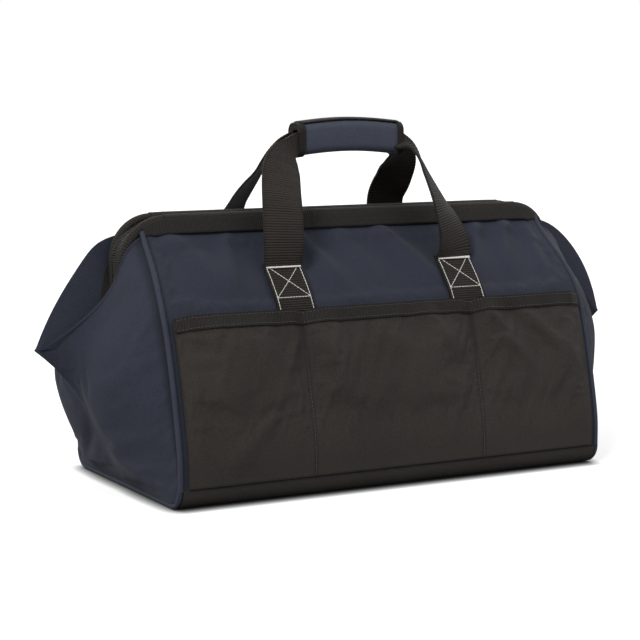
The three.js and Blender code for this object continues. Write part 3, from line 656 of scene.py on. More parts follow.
pocket = {
    "grid": (180, 66), "size": (432, 150), "fullness": 9, "fullRise": 3.2,
    "dividerX": 90, "sideInset": 3, "cloth": 1.6, "footLift": 1,
    "ripples": [(0.25, 27, 150, 11.3, 4.2), (-0.4, 12, 70, 16.3, 1.3)],  # lean, size, seed, depth
    "rippleTop": 0.1, "rippleFoot": (0.35, 0.6), "faintRipple": 0.25, "faintFoot": (0.7, 0.3),
    "dividerShare": 0.06, "dragMouth": (145, 14), "dragLoss": 0.7,
    "paintedSeamShade": 0.55, "seam": (0.5, 2), "paintedFootShade": 0.7, "footSeam": 1.6,
    "sewnDivider": (1, 5), "sewnFoot": 0.45, "sewnTop": (0.88, 0.08),
    "bandHeight": 11, "bandOver": 0.4, "bandCloth": 1.4, "bandGrid": (4, 150), "bandSize": (11, 432),
    "bandPaintedShade": 0.6, "bandSeam": 0.12,
    "drags": [
        ((96, 164), (150, 98), 7, 3.2), ((126, 166), (198, 100), 7, 3.0),
        ((116, 128), (170, 84), 7, 1.8), ((-86, 164), (-54, 84), 7, 3.2),
        ((-68, 162), (-50, 112), 6, 1.8), ((-26, 164), (-2, 120), 7, 2.2),
        ((34, 166), (64, 112), 7, 2.8), ((66, 164), (56, 116), 6, 2.0),
        ((4, 130), (30, 76), 9, 1.6), ((-132, 74), (-184, 26), 9, 2.6),
        ((-176, 162), (-186, 90), 11, 2.4), ((-120, 164), (-140, 110), 9, 1.8),
    ],
    "folds": {**clothRules, "mass": 0.12, "stiffness": 10, "bending": 0.6, "full": 0.02,
              "pressure": 0.12, "gravity": 0.0, "capOut": 3, "capIn": 0.4},
}
pocketHalf = bag["wallHalfLength"] - pocket["sideInset"]
pocketEdges = [-pocketHalf, -pocket["dividerX"], pocket["dividerX"], pocketHalf]
pocketSpan = bag["pocketHeight"] - bag["seamHeight"]


def pocketShare(x):
    cell = min(max(sum(x > edge for edge in pocketEdges) - 1, 0), 2)
    return (x - pocketEdges[cell]) / (pocketEdges[cell + 1] - pocketEdges[cell])


def nearestSeam(u):
    return min(abs(span(pocketHalf, u) - edge) for edge in pocketEdges)


def pocketLift(x, height):
    share = pocketShare(x)
    full = min(1.0, pocket["fullRise"] * math.sin(math.pi * clamp(share)))
    lift = pocket["fullness"] * full * rise(height, bag["seamHeight"], pocketSpan)
    fold = sum(noise.noise(Vector(((x + lean * height) / width, height / tall, seed))) * depth
               for lean, width, tall, seed, depth in pocket["ripples"])
    down = (bag["pocketHeight"] - height) / pocketSpan
    strength = smooth(down / pocket["rippleTop"]) * (1 - rise(down, *pocket["rippleFoot"]))
    strength += pocket["faintRipple"] * (1 - rise(down, *pocket["faintFoot"]))
    dragged = 1 - pocket["dragLoss"] * rise(height, *pocket["dragMouth"])
    fold = fold * strength + dragLift(x, height, pocket["drags"]) * dragged
    return max(0.0, lift + fold * smooth(fromEdge(share) / pocket["dividerShare"]))


def pocketSurface(fromHeight, toHeight, extra):
    def surface(u, v):
        x, height = span(pocketHalf, u), mix(fromHeight, toHeight, v)
        return onWall(x, height, bag["gap"] + pocketLift(x, height) + extra)
    return surface


# painted shade along the pocket's seams and at its foot
def pocketPaintedShade(u, v):
    return max(pocket["paintedSeamShade"] * (1 - rise(nearestSeam(u), *pocket["seam"])),
               pocket["paintedFootShade"] * (1 - smooth(v * pocketSpan / pocket["footSeam"])))


def pocketSewn(u, v):
    return max(1 - rise(nearestSeam(u), *pocket["sewnDivider"]),
               1 - smooth(v / pocket["sewnFoot"]), rise(v, *pocket["sewnTop"]))


def paintedEdgeShade(paintedShade, width):  # painted shade, darker along both long edges of a tape
    return lambda u, v: paintedShade * (1 - smooth(fromEdge(u) / width))


def turned(surface):  # the same sheet with its length in V, so that ribs run across it
    return lambda u, v: surface(v, 1 - u)


pocketPiece = newSheet(
    "front_pocket_cloth", pocket["grid"],
    pocketSurface(bag["seamHeight"] + pocket["footLift"], bag["pocketHeight"], pocket["cloth"]),
    pocket["size"])
markPaintedShade(pocketPiece, pocketPaintedShade)
settle(pocketPiece, pocket["folds"], pocketSewn)
thicken(pocketPiece, pocket["cloth"])
bothSides(pocketPiece, "pocket_cloth", blackCloth, "pocket_panel")

bandLift = pocket["cloth"] + bag["gap"] + pocket["bandCloth"]
bandSurface = pocketSurface(
    bag["pocketHeight"] - pocket["bandHeight"], bag["pocketHeight"] + pocket["bandOver"], bandLift)
bandPiece = newSheet(
    "front_pocket_binding", pocket["bandGrid"], turned(bandSurface), pocket["bandSize"])
markPaintedShade(bandPiece, paintedEdgeShade(pocket["bandPaintedShade"], pocket["bandSeam"]))
thicken(bandPiece, pocket["bandCloth"])
bothSides(bandPiece, "pocket_binding", blackBinding, "pocket_band")
print("walls and pockets made")


# piping up the ends of the walls

def wallPipingPath(signX):
    low, high = bag["seamHeight"] - piping["footBelow"], bag["wallTopHeight"] - piping["topBelow"]
    points = []
    for k in range(piping["steps"] + 1):
        height = mix(low, high, k / piping["steps"])
        x = signX * (wallEndAt(height) + bag["gap"] + piping["radius"])
        points.append(onWall(x, height, piping["lift"] - piping["radius"]))
    return points


for end, signX in ends:
    piece = newCord(f"front_piping_cord_{end}", wallPipingPath(signX), piping["radius"])
    bothSides(piece, f"piping_cord_{end}", pipingCloth, f"piping_{end}")


# end cloths, folded outwards into wings

wing = {
    "grid": (34, 66), "size": (150, 260), "foldShare": 0.62, "tip": (311, 0, 133),
    "topHeight": 233.5, "fullness": 15, "tuck": 12, "footRadius": 13.6, "footRise": 2,
    "footInset": 0.6, "footCorner": (0.8, 0.2), "underPiping": 3.4, "seamDepth": 4.0, "ridgeOver": 180,
    "bend": (2.2, 1.0), "bendRise": (0.4, 0.6), "creases": 2.6, "creaseEdge": 0.15, "creaseEnd": 0.1,
    "valleyX": (237.5, 220.5), "valleyY": (-1.5, -24), "valleyZ": (132, 207),
    "paintedSeamShade": 0.9, "seam": (3.4, 2.2), "sewnEdge": 0.1, "sewnFoot": 0.06, "sewnFold": 0.1,
    "folds": {**clothRules, "full": 0.025, "capOut": 5, "capIn": 1.2},
    "ridge": {
        "front_left": (232, -9, 171), "front_right": (252, -24, 184),
        "back_left": (264, -38, 208), "back_right": (320, -40, 223),
    },
}
wingTip = Vector(wing["tip"])
wingBlend = {"startX": 0.225, "endX": 0.225 - 0.0767, "endY": 0.0396, "endZ": 0.0495}


def wingWallEdge(v):
    height = mix(bag["seamHeight"] + wing["footRise"], wing["topHeight"], v)
    return Vector((wallEndAt(height) + wing["underPiping"],
                   -halfDepthAt(height) + wing["seamDepth"], height))


def wingFoot(u):  # straight along the base, then round its corner
    radius, low = wing["footRadius"], bag["edgeRadius"]
    arc = radius * math.pi / 2
    run = u * (baseFlat + arc)
    x = mix(bag["halfLength"] - wing["footInset"], wingWallEdge(0).x, rise(u, *wing["footCorner"]))
    if run < baseFlat:
        return Vector((x, -run, low - radius))
    angle = (run - baseFlat) / radius
    up = (bag["seamHeight"] + wing["footRise"] - low) * (run - baseFlat) / arc
    return Vector((x, -baseFlat - radius * math.sin(angle), low - radius * math.cos(angle) + up))


def valleyEdge(u):
    y, z = mix(*wing["valleyY"], u * u), mix(*wing["valleyZ"], u)
    return Vector((mix(*wing["valleyX"], u ** 4), y, z))


def wingRidge(corner, u):
    bend = Vector(wing["ridge"][corner])
    over = wing["ridgeOver"] * u ** 6 * (1 - u)  # out past the leg of the frame
    line = wingTip * (1 - u) ** 2 + bend * 2 * u * (1 - u) + wingWallEdge(1) * u * u
    return line + Vector((over, 0, 0))


def wingOuter(corner, u, v):  # flat across the base, a fold towards the tip
    centre, edge = wingFoot(0).lerp(wingTip, v), wingWallEdge(v)
    line = centre.lerp(edge, u)
    line.x = mix(centre.x, edge.x, u ** mix(*wing["bend"], rise(v, *wing["bendRise"])))
    line += (wingFoot(u) - wingFoot(0).lerp(wingWallEdge(0), u)) * (1 - v)
    line += (wingRidge(corner, u) - wingTip.lerp(wingWallEdge(1), u)) * v ** 3
    full = wing["fullness"] * math.sin(math.pi * u) ** 1.5 * math.sin(math.pi * v)
    tuck = wing["tuck"] * 6.75 * v * v * (1 - v) * (1 - u * u) ** 2
    spot = Vector((u * 2.1 + v * 1.3, v * 2.6 - u * 1.1, len(corner) * 1.7))
    crease = noise.noise(spot) * wing["creases"]
    for share, width in ((u, wing["creaseEdge"]), (v, wing["creaseEnd"])):
        crease *= smooth(share / width) * smooth((1 - share) / width)
    return line + Vector((full - tuck + crease, 0, 0))


def wingSurface(corner):
    def surface(s, t):
        u, share = 1 - s, wing["foldShare"]
        if t <= share:
            at = wingOuter(corner, u, t / share)
        else:
            at = wingRidge(corner, u).lerp(valleyEdge(u), (t - share) / (1 - share))
        return at.x, min(at.y, 0.0), at.z
    return surface


# painted shade along the end cloth's seam at the piping
def wingPaintedShade(s, t):
    paintedShade = wing["paintedSeamShade"] * (1 - rise(s * wing["size"][0], *wing["seam"]))
    return paintedShade if t < wing["foldShare"] else 0.0


def wingSewn(s, t):  # held at the piping, the foot, the middle fold, and from the ridge on
    free = smooth(fromEdge(s) / wing["sewnEdge"]) * smooth(t / wing["sewnFoot"])
    return 1 - free * smooth((wing["foldShare"] - t) / wing["sewnFold"])


for side, end, signX, signY in corners:
    corner = f"{side}_{end}"
    made = newSheet(f"{corner}_end", wing["grid"], wingSurface(corner), wing["size"])
    markPaintedShade(made, wingPaintedShade)
    settle(made, wing["folds"], wingSewn)
    thicken(made, bag["cloth"])
    piece = mirrorCopy(made, f"{corner}_end_cloth", signX, signY)
    removeAll(made)
    dress(piece, navyCloth, None, [f"{side}_gusset_{end}"])
    reach = (signX * wingBlend["endX"], -signY * wingBlend["endY"], wingBlend["endZ"])
    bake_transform(piece)
print("end cloths made")


# binding over the rails, and down the legs of the frame

rail = {
    "halfLength": 191, "tape": 1.2, "inner": 3.5, "endOuter": 4.45, "endLength": 16,
    "lipShare": 0.15, "lipHeight": 5.5, "angles": (-6, 166),
    "rollGrid": (14, 120), "rollSize": (22, 376), "skirtGrid": (6, 150), "skirtSize": (18, 424),
    "skirtHalfLength": 213, "skirtTop": (19.6, 247.4), "skirtFoot": (25.9, 233.6),
    "taper": (200, 13), "taperLoss": 0.4, "paintedFootShade": 0.7, "footSeam": 0.1,
}


def railRoll(u, v):
    # from the inner lip over the top of the rail to the skirt
    x = span(rail["halfLength"], 1 - v)
    toEnd = (rail["halfLength"] - abs(x)) / rail["endLength"]
    outer = mix(rail["endOuter"], rail["inner"] + rail["tape"], smooth(toEnd))
    y, z, lip = -bag["railHalfGap"], bag["railHeight"], rail["lipShare"]
    if u < lip:
        return x, y + outer, mix(z - rail["lipHeight"], z, u / lip)
    angle = math.radians(mix(*rail["angles"], (u - lip) / (1 - lip)))
    return x, y + outer * math.cos(angle), z + outer * math.sin(angle)


def railSkirt(u, v):
    x = span(rail["skirtHalfLength"], 1 - v)
    u *= 1 - rail["taperLoss"] * rise(abs(x), *rail["taper"])
    (topY, topZ), (footY, footZ) = rail["skirtTop"], rail["skirtFoot"]
    return x, -mix(topY, footY, u), mix(topZ, footZ, u) - cornerDip(x)


# painted shade at the foot of the skirt, where it meets the wall
def skirtPaintedShade(u, v):
    return rail["paintedFootShade"] * (1 - smooth((1 - u) / rail["footSeam"]))


rollPiece = newSheet("front_rail_roll", rail["rollGrid"], railRoll, rail["rollSize"])
thicken(rollPiece, rail["tape"], 0)
bothSides(rollPiece, "rail_roll", blackBinding, "rail_binding")
skirtPiece = newSheet("front_rail_skirt", rail["skirtGrid"], railSkirt, rail["skirtSize"])
markPaintedShade(skirtPiece, skirtPaintedShade)
thicken(skirtPiece, rail["tape"])
bothSides(skirtPiece, "rail_skirt", blackBinding)

legTape = {
    "columns": 12, "size": (26, 125), "inner": 3.2, "tape": 1.1, "openAngle": 2, "stopAbove": 14,
    "skirtShares": (0.96, 0.05), "skirtWidth": 9, "skirtFold": 0.4, "skirtCloth": 1.0,
    "skirtGrid": (8, 40), "skirtSize": (18, 80), "skirtOver": (0, 1.5, 0.4),
    "legOut": 1, "legInwards": 3.2, "legGap": 0.6,
    "blend": (229, 238),  # from the leg out to the end cloth
}
level = Vector((0, 1, 0))


def onFrame(x, drop):
    y = -mix(bag["railHalfGap"], bag["legHalfGap"], drop / bag["legDrop"])
    return Vector((x, y, bag["railHeight"] - drop))


def framePath(toDrop, insets, steps=10, legSteps=14):
    # round the corner and down the leg, inside the frame by an inset that changes over the corner
    radius = bag["cornerRadius"]
    points = []
    for k in range(steps + 1):
        angle = math.pi / 2 * (1 - k / steps)
        turn = radius - mix(*insets, smooth(k / steps))
        x = bag["frameHalfLength"] - radius + turn * math.cos(angle)
        points.append(onFrame(x, radius - turn * math.sin(angle)))
    for k in range(1, legSteps + 1):
        points.append(onFrame(bag["frameHalfLength"] - insets[1], mix(radius, toDrop, k / legSteps)))
    return points


def pathFrames(points):
    frames = []
    for i, at in enumerate(points):
        along = (points[min(i + 1, len(points) - 1)] - points[max(i - 1, 0)]).normalized()
        across = (level - along * level.dot(along)).normalized()
        frames.append((at, along, across, along.cross(across)))
    return frames


legFrames = pathFrames(framePath(bag["legDrop"] - legTape["stopAbove"], (0, 0)))


def legSurface(u, v):
    at, along, across, up = legFrames[round(v * (len(legFrames) - 1))]
    radius = legTape["inner"] + legTape["tape"]
    angle = math.radians(mix(legTape["openAngle"], 360 - legTape["openAngle"], 1 - u))
    return at + across * radius * math.cos(angle) + up * radius * math.sin(angle)


def legSkirt(corner):
    def surface(u, v):
        share, fold = mix(*legTape["skirtShares"], v), legTape["skirtFold"]
        edge, ridge = valleyEdge(share), wingRidge(corner, share)
        y = min(edge.y + legTape["legInwards"], -legTape["legGap"])
        leg = Vector((bag["frameHalfLength"] + legTape["legOut"], y, edge.z))
        over = edge + Vector(legTape["skirtOver"])
        if u < fold:
            return leg.lerp(over, u / fold)
        return over + (ridge - edge).normalized() * legTape["skirtWidth"] * (u - fold) / (1 - fold)
    return surface


legGrid = (legTape["columns"], len(legFrames) - 1)
legPiece = newSheet("leg_tape", legGrid, legSurface, legTape["size"])
thicken(legPiece, legTape["tape"])
for side, end, signX, signY in corners:
    atCorner(legPiece, "leg_tape", side, end, blackBinding, "frame", "leg_binding")
    surface = legSkirt(f"{side}_{end}")
    made = newSheet("leg_skirt", legTape["skirtGrid"], surface, legTape["skirtSize"])
    thicken(made, legTape["skirtCloth"])
    piece = atCorner(made, "leg_skirt", side, end, blackBinding)
    removeAll(made)
    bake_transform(piece)
removeAll(legPiece)
print("bindings made")


# zip

zipper = {
    "height": 238.8, "tapeInner": -3.0, "tapeOuter": -13.6, "tape": 1.2, "halfLength": 187,
    "tapeGrid": (6, 120), "tapeSize": (11, 374), "endColumns": 5, "endSize": (12, 110),
    "endInsets": (5.7, -3.4), "endStop": 20,
    "pitch": 1.7, "coilY": -2.35, "samples": 600,
}
coil = {
    "radius": 1.75, "wire": 0.55, "bow": 0.35, "narrow": 0.62, "wide": 0.95, "noseFrom": -1.0,
    "noseLength": 2.6,
}


def zipTapeSurface(u, v):
    y = mix(zipper["tapeInner"], zipper["tapeOuter"], u)
    return span(zipper["halfLength"], 1 - v), y, zipper["height"] + zipper["tape"] / 2


tapePiece = newSheet("front_zip_cloth", zipper["tapeGrid"], zipTapeSurface, zipper["tapeSize"])
thicken(tapePiece, zipper["tape"], 0)
bothSides(tapePiece, "zip_cloth", blackBinding, "zip_tape")


def newCoilLoop():  # one turn of the coil, pinched at its nose
    deselectAll()
    bpy.ops.mesh.primitive_torus_add(
        major_segments=8, minor_segments=4,
        major_radius=coil["radius"] * mm, minor_radius=coil["wire"] * mm)
    loop = bpy.context.object
    for vert in loop.data.vertices:
        y, z = vert.co.y, vert.co.x
        x = vert.co.z + coil["bow"] * mm * math.sin(3 * z / (coil["radius"] * mm))
        nose = rise(y / mm, coil["noseFrom"], coil["noseLength"])
        vert.co = Vector((x, y, z * mix(coil["narrow"], coil["wide"], nose)))
    return loop


coilLoop = newCoilLoop()


def coilPlaces(path):
    count = max(2, int((path[-1] - path[0]).length / zipper["pitch"]))
    (points,), _ = evenCurves([path], count, zipper["samples"])
    return [placeAt(along, across, up, at + across * zipper["coilY"])
            for at, along, across, up in pathFrames(points)]


coilX = np.linspace(-zipper["halfLength"], zipper["halfLength"], 9)
coilPiece = copyAlong(
    "front_zip_coil", coilLoop, coilPlaces([Vector((x, 0, zipper["height"])) for x in coilX]))
bothSides(coilPiece, "zip_coil", zipNylon, "zip_chain")

endPath = framePath(bag["legDrop"] - zipper["endStop"], zipper["endInsets"])
endCentre = [Vector((p.x, 0, p.z)) for p in endPath]
endFrames = pathFrames(endCentre)


def endTape(u, v):
    i = round(v * (len(endPath) - 1))
    at, along, across, up = endFrames[i]
    return at + across * mix(zipper["tapeInner"], endPath[i].y, 1 - u) + up * zipper["tape"] / 2


endGrid = (zipper["endColumns"], len(endPath) - 1)
endTapePiece = newSheet("end_tape", endGrid, endTape, zipper["endSize"])
thicken(endTapePiece, zipper["tape"], 0)
endCoilPiece = copyAlong("end_coil", coilLoop, coilPlaces(endCentre))
for side, end, signX, signY in corners:
    atCorner(
        endTapePiece, "end_zip_cloth", side, end, blackBinding, "frame", "end_zip")
    atCorner(endCoilPiece, "end_zip_coil", side, end, zipNylon, "frame")
removeAll(endTapePiece, endCoilPiece, coilLoop)
print("zip made")


# handles

handle = {
    "strapX": 92, "halfWidth": 19, "webbing": 2.2, "foldedHalfWidth": 9, "columns": 10, "steps": 640,
    "samples": 900, "ribPitch": 2.3, "ribHeight": 0.18, "cup": 1.2, "cupRise": (215, 30),
    "inGrip": (8, 26), "foldScale": 40, "paintedEdgeShade": 0.5, "edgeSeam": 0.06,
    "blendY": 0.058, "blendFoot": 0.205, "blendTop": 0.232,
}
grip = {
    "start": -48, "end": 65, "height": 315, "arch": 4, "halfHeight": 15, "halfThickness": 10.5,
    "corner": 7, "wall": 2.8, "puff": 0.9, "puffEnds": 14, "puffSize": 22, "seed": 5.1,
    "grid": (26, 60), "size": (75, 113), "bandGrid": (40, 12), "bandSize": (75, 16),
    "topGrid": (60, 8), "topSize": (113, 12), "binding": 1.1, "bindingLength": 6,
    "bindingLift": 1.4, "turnIn": 5.5,
    "turnShare": 0.4, "turnX": (1.2, -0.7), "topInset": 3, "topShare": 0.17,
}


def gripRise(x):
    return grip["arch"] * math.sin(math.pi * clamp((x - grip["start"]) / (grip["end"] - grip["start"])))


# webbing from each tack to the grip: distance out from the middle, height, turn in degrees about
# the upright and how far it is folded in half; one end of each handle hangs flat and one twisted
strapHang = {
    "flat": [(58.4, 204.6, 0, 0), (60, 214, -3, 0), (59, 231, -8, 0), (52, 255, -10, 0),
             (40, 274, -10, 0), (29, 288, -9, 0), (19, 299, -6, 0.3), (8, 308, 0, 0.9)],
    "twisted": [(58.4, 204.6, 0, 0), (60, 214, 10, 0), (58, 231, 26, 0), (50, 254, 44, 0),
                (37, 279, 52, 0.1), (25, 295, 56, 0.4), (13, 305, 40, 0.85), (7, 311, 10, 1)],
}
strapEnds = {  # how each one hangs, and its half lengths at those heights
    "front_left": ("flat", (92, 92, 91.5, 89, 84, 78, 70, 59)),
    "front_right": ("twisted", (92, 91.5, 88, 81, 75, 72, 69, 63)),
    "back_left": ("twisted", (92, 91, 88, 81, 69, 63, 57, 50)),
    "back_right": ("flat", (92, 91, 88, 84, 86, 85, 80, 71)),
}


def strapStations(side):  # both ends joined through the grip
    gripY = (grip["halfThickness"] - grip["wall"]) / 2
    mirror = -1 if side == "back" else 1
    stations = []
    for (end, sign), gripX in zip(ends, (grip["start"], grip["end"])):
        hang, reaches = strapEnds[f"{side}_{end}"]
        run = [(Vector((sign * reach, -y, z)), mirror * turn, fold)
               for reach, (y, z, turn, fold) in zip(reaches, strapHang[hang])]
        for inwards in handle["inGrip"]:
            x = gripX - sign * inwards
            run.append((Vector((x, -gripY, grip["height"] + gripRise(x))), 0, 1))
        stations.append(run)
    return stations[0] + stations[1][::-1]


def evenStrap(side):
    stations, scale = strapStations(side), handle["foldScale"]
    curves = [[at for at, turn, fold in stations],
              [Vector((turn, fold * scale, 0)) for at, turn, fold in stations]]
    (points, turns), length = evenCurves(curves, handle["steps"], handle["samples"])
    return [(*place, math.radians(turn.x), clamp(turn.y / scale))
            for place, turn in zip(pathFrames(points), turns)], length


def strapSurface(frames, length):
    def surface(u, v):
        at, along, flat, up, turn, fold = frames[round(v * (len(frames) - 1))]
        across = flat.cross(along)
        if along.z < 0:
            turn = -turn
        across, flat = (across * math.cos(turn) + flat * math.sin(turn),
                        flat * math.cos(turn) - across * math.sin(turn))
        half = mix(handle["halfWidth"], handle["foldedHalfWidth"], fold)
        thick = mix(handle["webbing"], 2 * handle["webbing"], fold) / 2
        rib = handle["ribHeight"] * math.sin(2 * math.pi * v * length / handle["ribPitch"])
        cup = handle["cup"] * (1 - (2 * u - 1) ** 2) * (1 - fold) * rise(at.z, *handle["cupRise"])
        return at + across * half * (1 - 2 * u) - flat * (thick + rib + cup)
    return surface


for side, signY in (("front", 1), ("back", -1)):
    frames, length = evenStrap(side)
    piece = newSheet(
        f"{side}_handle_webbing", (handle["columns"], handle["steps"]),
        strapSurface(frames, length), (2 * handle["halfWidth"], length))
    # painted shade along both edges of the webbing
    markPaintedShade(piece, paintedEdgeShade(handle["paintedEdgeShade"], handle["edgeSeam"]))
    thicken(piece, handle["webbing"], 0)
    if side == "back":
        piece.data.transform(Matrix.Diagonal((1, -1, 1, 1)))
        piece.data.flip_normals()
    dress(piece, blackWebbing, None, [f"{side}_handle_strap"])
    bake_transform(piece)


def gripSection(u, lift):  # half of the wrapped grip, from its top round the front to its foot
    halfHeight, depth, radius = (grip[key] + lift for key in ("halfHeight", "halfThickness", "corner"))
    flat, arc = depth - radius, math.pi / 2 * radius
    half = flat + arc + halfHeight - radius
    run, up = (u * 2 * half, 1) if u < 0.5 else ((1 - u) * 2 * half, -1)
    if run < flat:
        return -run, up * halfHeight
    if run < flat + arc:
        angle = (run - flat) / radius
        return -flat - radius * math.sin(angle), up * (halfHeight - radius + radius * math.cos(angle))
    return -depth, up * (half - run)


def gripPoint(x, u, lift):
    y, z = gripSection(u, lift)
    away = smooth(min(x - grip["start"], grip["end"] - x) / grip["puffEnds"])
    spot = Vector((x / grip["puffSize"], u * 3, grip["seed"]))
    puff = (math.sin(math.pi * u) + 0.5 * noise.noise(spot)) * away * grip["puff"]
    return x, min(y - puff, 0.0), grip["height"] + gripRise(x) + z


def gripSurface(u, v):
    return gripPoint(mix(grip["start"], grip["end"], v), u, 0)


gripPiece = newSheet("front_grip_wrap", grip["grid"], gripSurface, grip["size"])
thicken(gripPiece, grip["wall"])
bothSides(gripPiece, "grip_wrap", gripClothPaintedLighter, "grip_pad", "handle")


def gripEndBand(endX, inwards):
    # binding sewn over the wrap's end, turned in towards the webbing
    turnShare, (turnFrom, turnTo) = grip["turnShare"], grip["turnX"]

    def surface(u, v):
        if inwards < 0:
            v = 1 - v
        turn = smooth(v / turnShare)
        if v < turnShare:
            reach = mix(turnFrom, turnTo, turn)
        else:
            reach = mix(turnTo, grip["bindingLength"], (v - turnShare) / (1 - turnShare))
        return gripPoint(endX + inwards * reach, u, mix(-grip["turnIn"], grip["bindingLift"], turn))
    return surface


def gripTopBand(u, v):
    x = mix(grip["start"] + grip["topInset"], grip["end"] - grip["topInset"], 1 - u)
    return gripPoint(x, v * grip["topShare"], grip["bindingLift"])


bandParts = [
    newSheet("grip_band_left", grip["bandGrid"], gripEndBand(grip["start"], 1), grip["bandSize"]),
    newSheet("grip_band_right", grip["bandGrid"], gripEndBand(grip["end"], -1), grip["bandSize"]),
    newSheet("grip_band_top", grip["topGrid"], gripTopBand, grip["topSize"]),
]
bandParts[2].data.flip_normals()
for part in bandParts:
    thicken(part, grip["binding"])
makeActive(bandParts[0])
for part in bandParts:
    part.select_set(True)
bpy.ops.object.join()
bandPiece = bpy.context.object
bandPiece.name = "front_grip_binding"
bothSides(bandPiece, "grip_binding", blackBinding, "grip_tape", "handle")
print("handles made")


# sewn ends of the handles

anchor = {
    "grid": (8, 84), "size": (38, 48), "foot": 164.2, "boxFoot": 175.5, "boxTop": 202, "top": 204.5,
    "inset": 2.2, "gap": 0.1,
    "threadBelow": 1.5, "stitch": 2.6, "pitch": 3.1, "thread": 0.42, "threadLift": 0.35,
    "tacks": 40, "tackWidth": 3.4, "tackThread": 0.6, "tackLift": 1.3, "tackOver": 0.8,
    "tackLean": 0.4, "tackTop": 0.2,
}
anchorLift = bag["gap"] + handle["webbing"] + anchor["gap"]


def anchorSurface(u, v):
    height = mix(anchor["foot"], anchor["top"], v)
    rib = handle["ribHeight"] * math.sin(2 * math.pi * v * anchor["size"][1] / handle["ribPitch"])
    return onWall(span(handle["halfWidth"], u), height, anchorLift + rib)


def anchorLine(points, steps=8):  # a straight seam on the anchor, given as (x, height) ends
    (x0, z0), (x1, z1) = points
    line = []
    for k in range(steps + 1):
        x, height = mix(x0, x1, k / steps), mix(z0, z1, k / steps)
        line.append((onWall(x, height, anchorLift + anchor["threadLift"]), wallNormal(height)))
    return line


anchorPiece = newSheet("anchor", anchor["grid"], anchorSurface, anchor["size"])
thicken(anchorPiece, handle["webbing"], 0)
stitch = newStitch(anchor["stitch"], anchor["thread"])
tack = newStitch(anchor["tackWidth"], anchor["tackThread"])
half = handle["halfWidth"] - anchor["inset"]
low, high, foot = anchor["boxFoot"], anchor["boxTop"], anchor["foot"] - anchor["threadBelow"]
seams = [((-half, foot), (-half, high)), ((half, foot), (half, high)), ((-half, low), (half, low)),
         ((-half, low), (half, high)), ((-half, high), (half, low))]
places = [place for seam in seams for place in stitchPlaces(anchorLine(seam), anchor["pitch"])]
threadPiece = copyAlong("threads", stitch, places)
tackPlaces = []
for k in range(anchor["tacks"]):
    x = span(half + anchor["tackOver"], (k + 0.5) / anchor["tacks"])
    path = anchorLine(
        ((x, high - anchor["tackWidth"]), (x + anchor["tackLean"], high - anchor["tackTop"])))
    tackPlaces += stitchPlaces(path, 3 * anchor["tackWidth"], anchor["tackLift"])
tackPiece = copyAlong("tacks", tack, tackPlaces)
for side, end, signX, signY in corners:
    for stem, source, material, nodes in (
        ("anchor_webbing", anchorPiece, blackWebbing, [f"{side}_strap_anchor_{end}"]),
        ("anchor_threads", threadPiece, whiteThread, []),
        ("anchor_tacks", tackPiece, whiteThread, []),
    ):
        shifted = mirrorCopy(source, f"{side}_{stem}_{end}", 1, signY)
        shifted.data.transform(Matrix.Translation((signX * handle["strapX"] * mm, 0, 0)))
        dress(shifted, material, f"{side}_side", nodes)
removeAll(anchorPiece, threadPiece, tackPiece, stitch, tack)


# black stitching along the pocket dividers, the pocket band and the rail's skirt

seamThread = {
    "stitch": 2.2, "pitch": 3.4, "thread": 0.3, "clothLift": 0.25, "bandLift": 0.2,
    "dividerFoot": 2, "dividerTop": 12, "bandHalf": 214, "bandRows": (9.3, 1.4),
    "skirtShares": (0.25, 0.86), "skirtLift": (0, -0.2, 0.1), "skirtOut": (0, -0.9, 0.45),
}
blackStitch = newStitch(seamThread["stitch"], seamThread["thread"])


def pocketRun(fromX, toX, fromHeight, toHeight, lift, steps=60):
    run = []
    for k in range(steps + 1):
        x, height = mix(fromX, toX, k / steps), mix(fromHeight, toHeight, k / steps)
        out = bag["gap"] + pocketLift(x, height) + lift
        run.append((onWall(x, height, out), wallNormal(height)))
    return run


def skirtRun(share, steps=120):
    lift, out = Vector(seamThread["skirtLift"]), Vector(seamThread["skirtOut"]).normalized()
    return [(Vector(railSkirt(share, k / steps)) + lift, out) for k in range(steps + 1)]


runs = []
for x in (-pocket["dividerX"], pocket["dividerX"]):
    runs.append(pocketRun(
        x, x, bag["seamHeight"] + seamThread["dividerFoot"],
        bag["pocketHeight"] - seamThread["dividerTop"], pocket["cloth"] + seamThread["clothLift"]))
for below in seamThread["bandRows"]:
    height, reach = bag["pocketHeight"] - below, seamThread["bandHalf"]
    runs.append(pocketRun(-reach, reach, height, height, bandLift + seamThread["bandLift"], 200))
runs += [skirtRun(share) for share in seamThread["skirtShares"]]
places = [place for run in runs for place in stitchPlaces(run, seamThread["pitch"])]
seamPiece = copyAlong("front_seam_threads", blackStitch, places)
bothSides(seamPiece, "seam_threads", blackThread)
removeAll(blackStitch)
print("stitching made")


# CAD nodes that keep their shape and get a finish

finishes = {
    "base_board": fibreBoard, "front_frame_rod": zincSteel, "back_frame_rod": zincSteel,
    "pivot_rivet_left": zincSteel, "pivot_rivet_right": zincSteel,
    "zip_slider": zincCasting, "zip_pull_tab": zincCasting,
}
for nodeName, material in finishes.items():
    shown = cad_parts[nodeName]
    if not shown.material_slots:
        shown.data.materials.append(material)
    for place in shown.material_slots:
        place.material = material


# floor, light and camera

studio = {
    "size": 24, "height": -0.0006, "shadowReach": 0.013, "shadowDepth": 1.7, "shadowSamples": 12,
    "floorGlow": 0.62, "floorTone": (0.62, 0.62, 0.62), "bounceTone": (0.45, 0.45, 0.45),
    "daylight": 0.3,
}


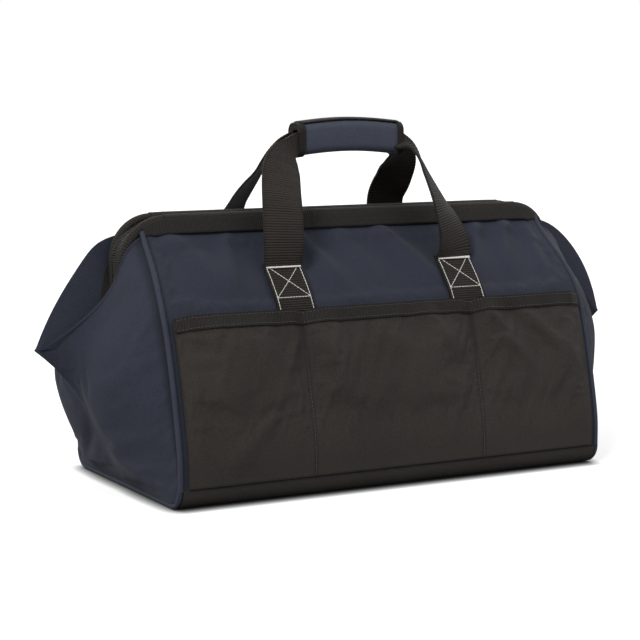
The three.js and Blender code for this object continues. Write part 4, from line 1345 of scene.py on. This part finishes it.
def newStudio():
    deselectAll()
    bpy.ops.mesh.primitive_plane_add(size=studio["size"], location=(0, 0, studio["height"]))
    floor = bpy.context.object
    floor.name = "studio_floor"
    material, tree, shader = newMaterial({"name": "white studio floor", "roughness": 1, "gloss": 0})
    seen = addNode(tree, "ShaderNodeLightPath")["Is Camera Ray"]
    # painted contact shadow: an ambient occlusion node darkens the floor's colour and glow next to the
    # bag
    near = addNode(tree, "ShaderNodeAmbientOcclusion", {"Distance": studio["shadowReach"]},
                   samples=studio["shadowSamples"])
    paintedShade = calc(tree, "POWER", near["AO"], studio["shadowDepth"])
    tone = colourMix(tree, seen, studio["bounceTone"], studio["floorTone"])
    fill(tree, shader, {
        "Base Color": colourMix(tree, 1, tone, paintedShade, "MULTIPLY"), "Emission Color": paintedShade,
        "Emission Strength": calc(tree, "MULTIPLY", seen, studio["floorGlow"])})
    floor.data.materials.append(material)
    world = bpy.data.worlds.new("studio")
    bpy.context.scene.world = world
    world.use_nodes = True
    tree = world.node_tree
    path = addNode(tree, "ShaderNodeLightPath")
    seen = calc(tree, "MAXIMUM", path["Is Camera Ray"], path["Is Glossy Ray"])
    seen = calc(tree, "MAXIMUM", seen, path["Is Transmission Ray"])
    strength = addLayer(tree, studio["daylight"], seen, 1 - studio["daylight"])
    fill(tree, tree.nodes["Background"], {"Color": (1, 1, 1, 1), "Strength": strength})


lamps = {
    "key": {"strength": 2.05, "angle": 20, "turn": (56, 0, -56)},
    "fill": {"strength": 0.78, "angle": 60, "turn": (40, 0, 40)},
    "side": {"strength": 0.5, "angle": 60, "turn": (58, 0, -115)},
    "back": {"strength": 0.6, "angle": 60, "turn": (50, 0, 150)},
}


def newLamps():
    for name, lamp in lamps.items():
        bpy.ops.object.light_add(type="SUN", location=(0, 0, 2))
        light = bpy.context.object
        light.name = name
        light.data.energy = lamp["strength"]
        light.data.angle = math.radians(lamp["angle"])
        light.rotation_euler = [math.radians(angle) for angle in lamp["turn"]]


view = {  # as fitted to the photo
    "lens": 108.27, "sensor": 36, "place": (-0.90413, -1.60547, 0.37532), "turn": (82.767, 0, -28.83),
    "reach": 60,
}


def newCamera():
    bpy.ops.object.camera_add(location=view["place"])
    camera = bpy.context.object
    camera.rotation_euler = [math.radians(angle) for angle in view["turn"]]
    camera.data.lens = view["lens"]
    camera.data.sensor_width = view["sensor"]
    camera.data.clip_end = view["reach"]
    bpy.context.scene.camera = camera


newStudio()
newLamps()
newCamera()
bpy.context.scene.view_settings.view_transform = "Standard"
print("studio made")
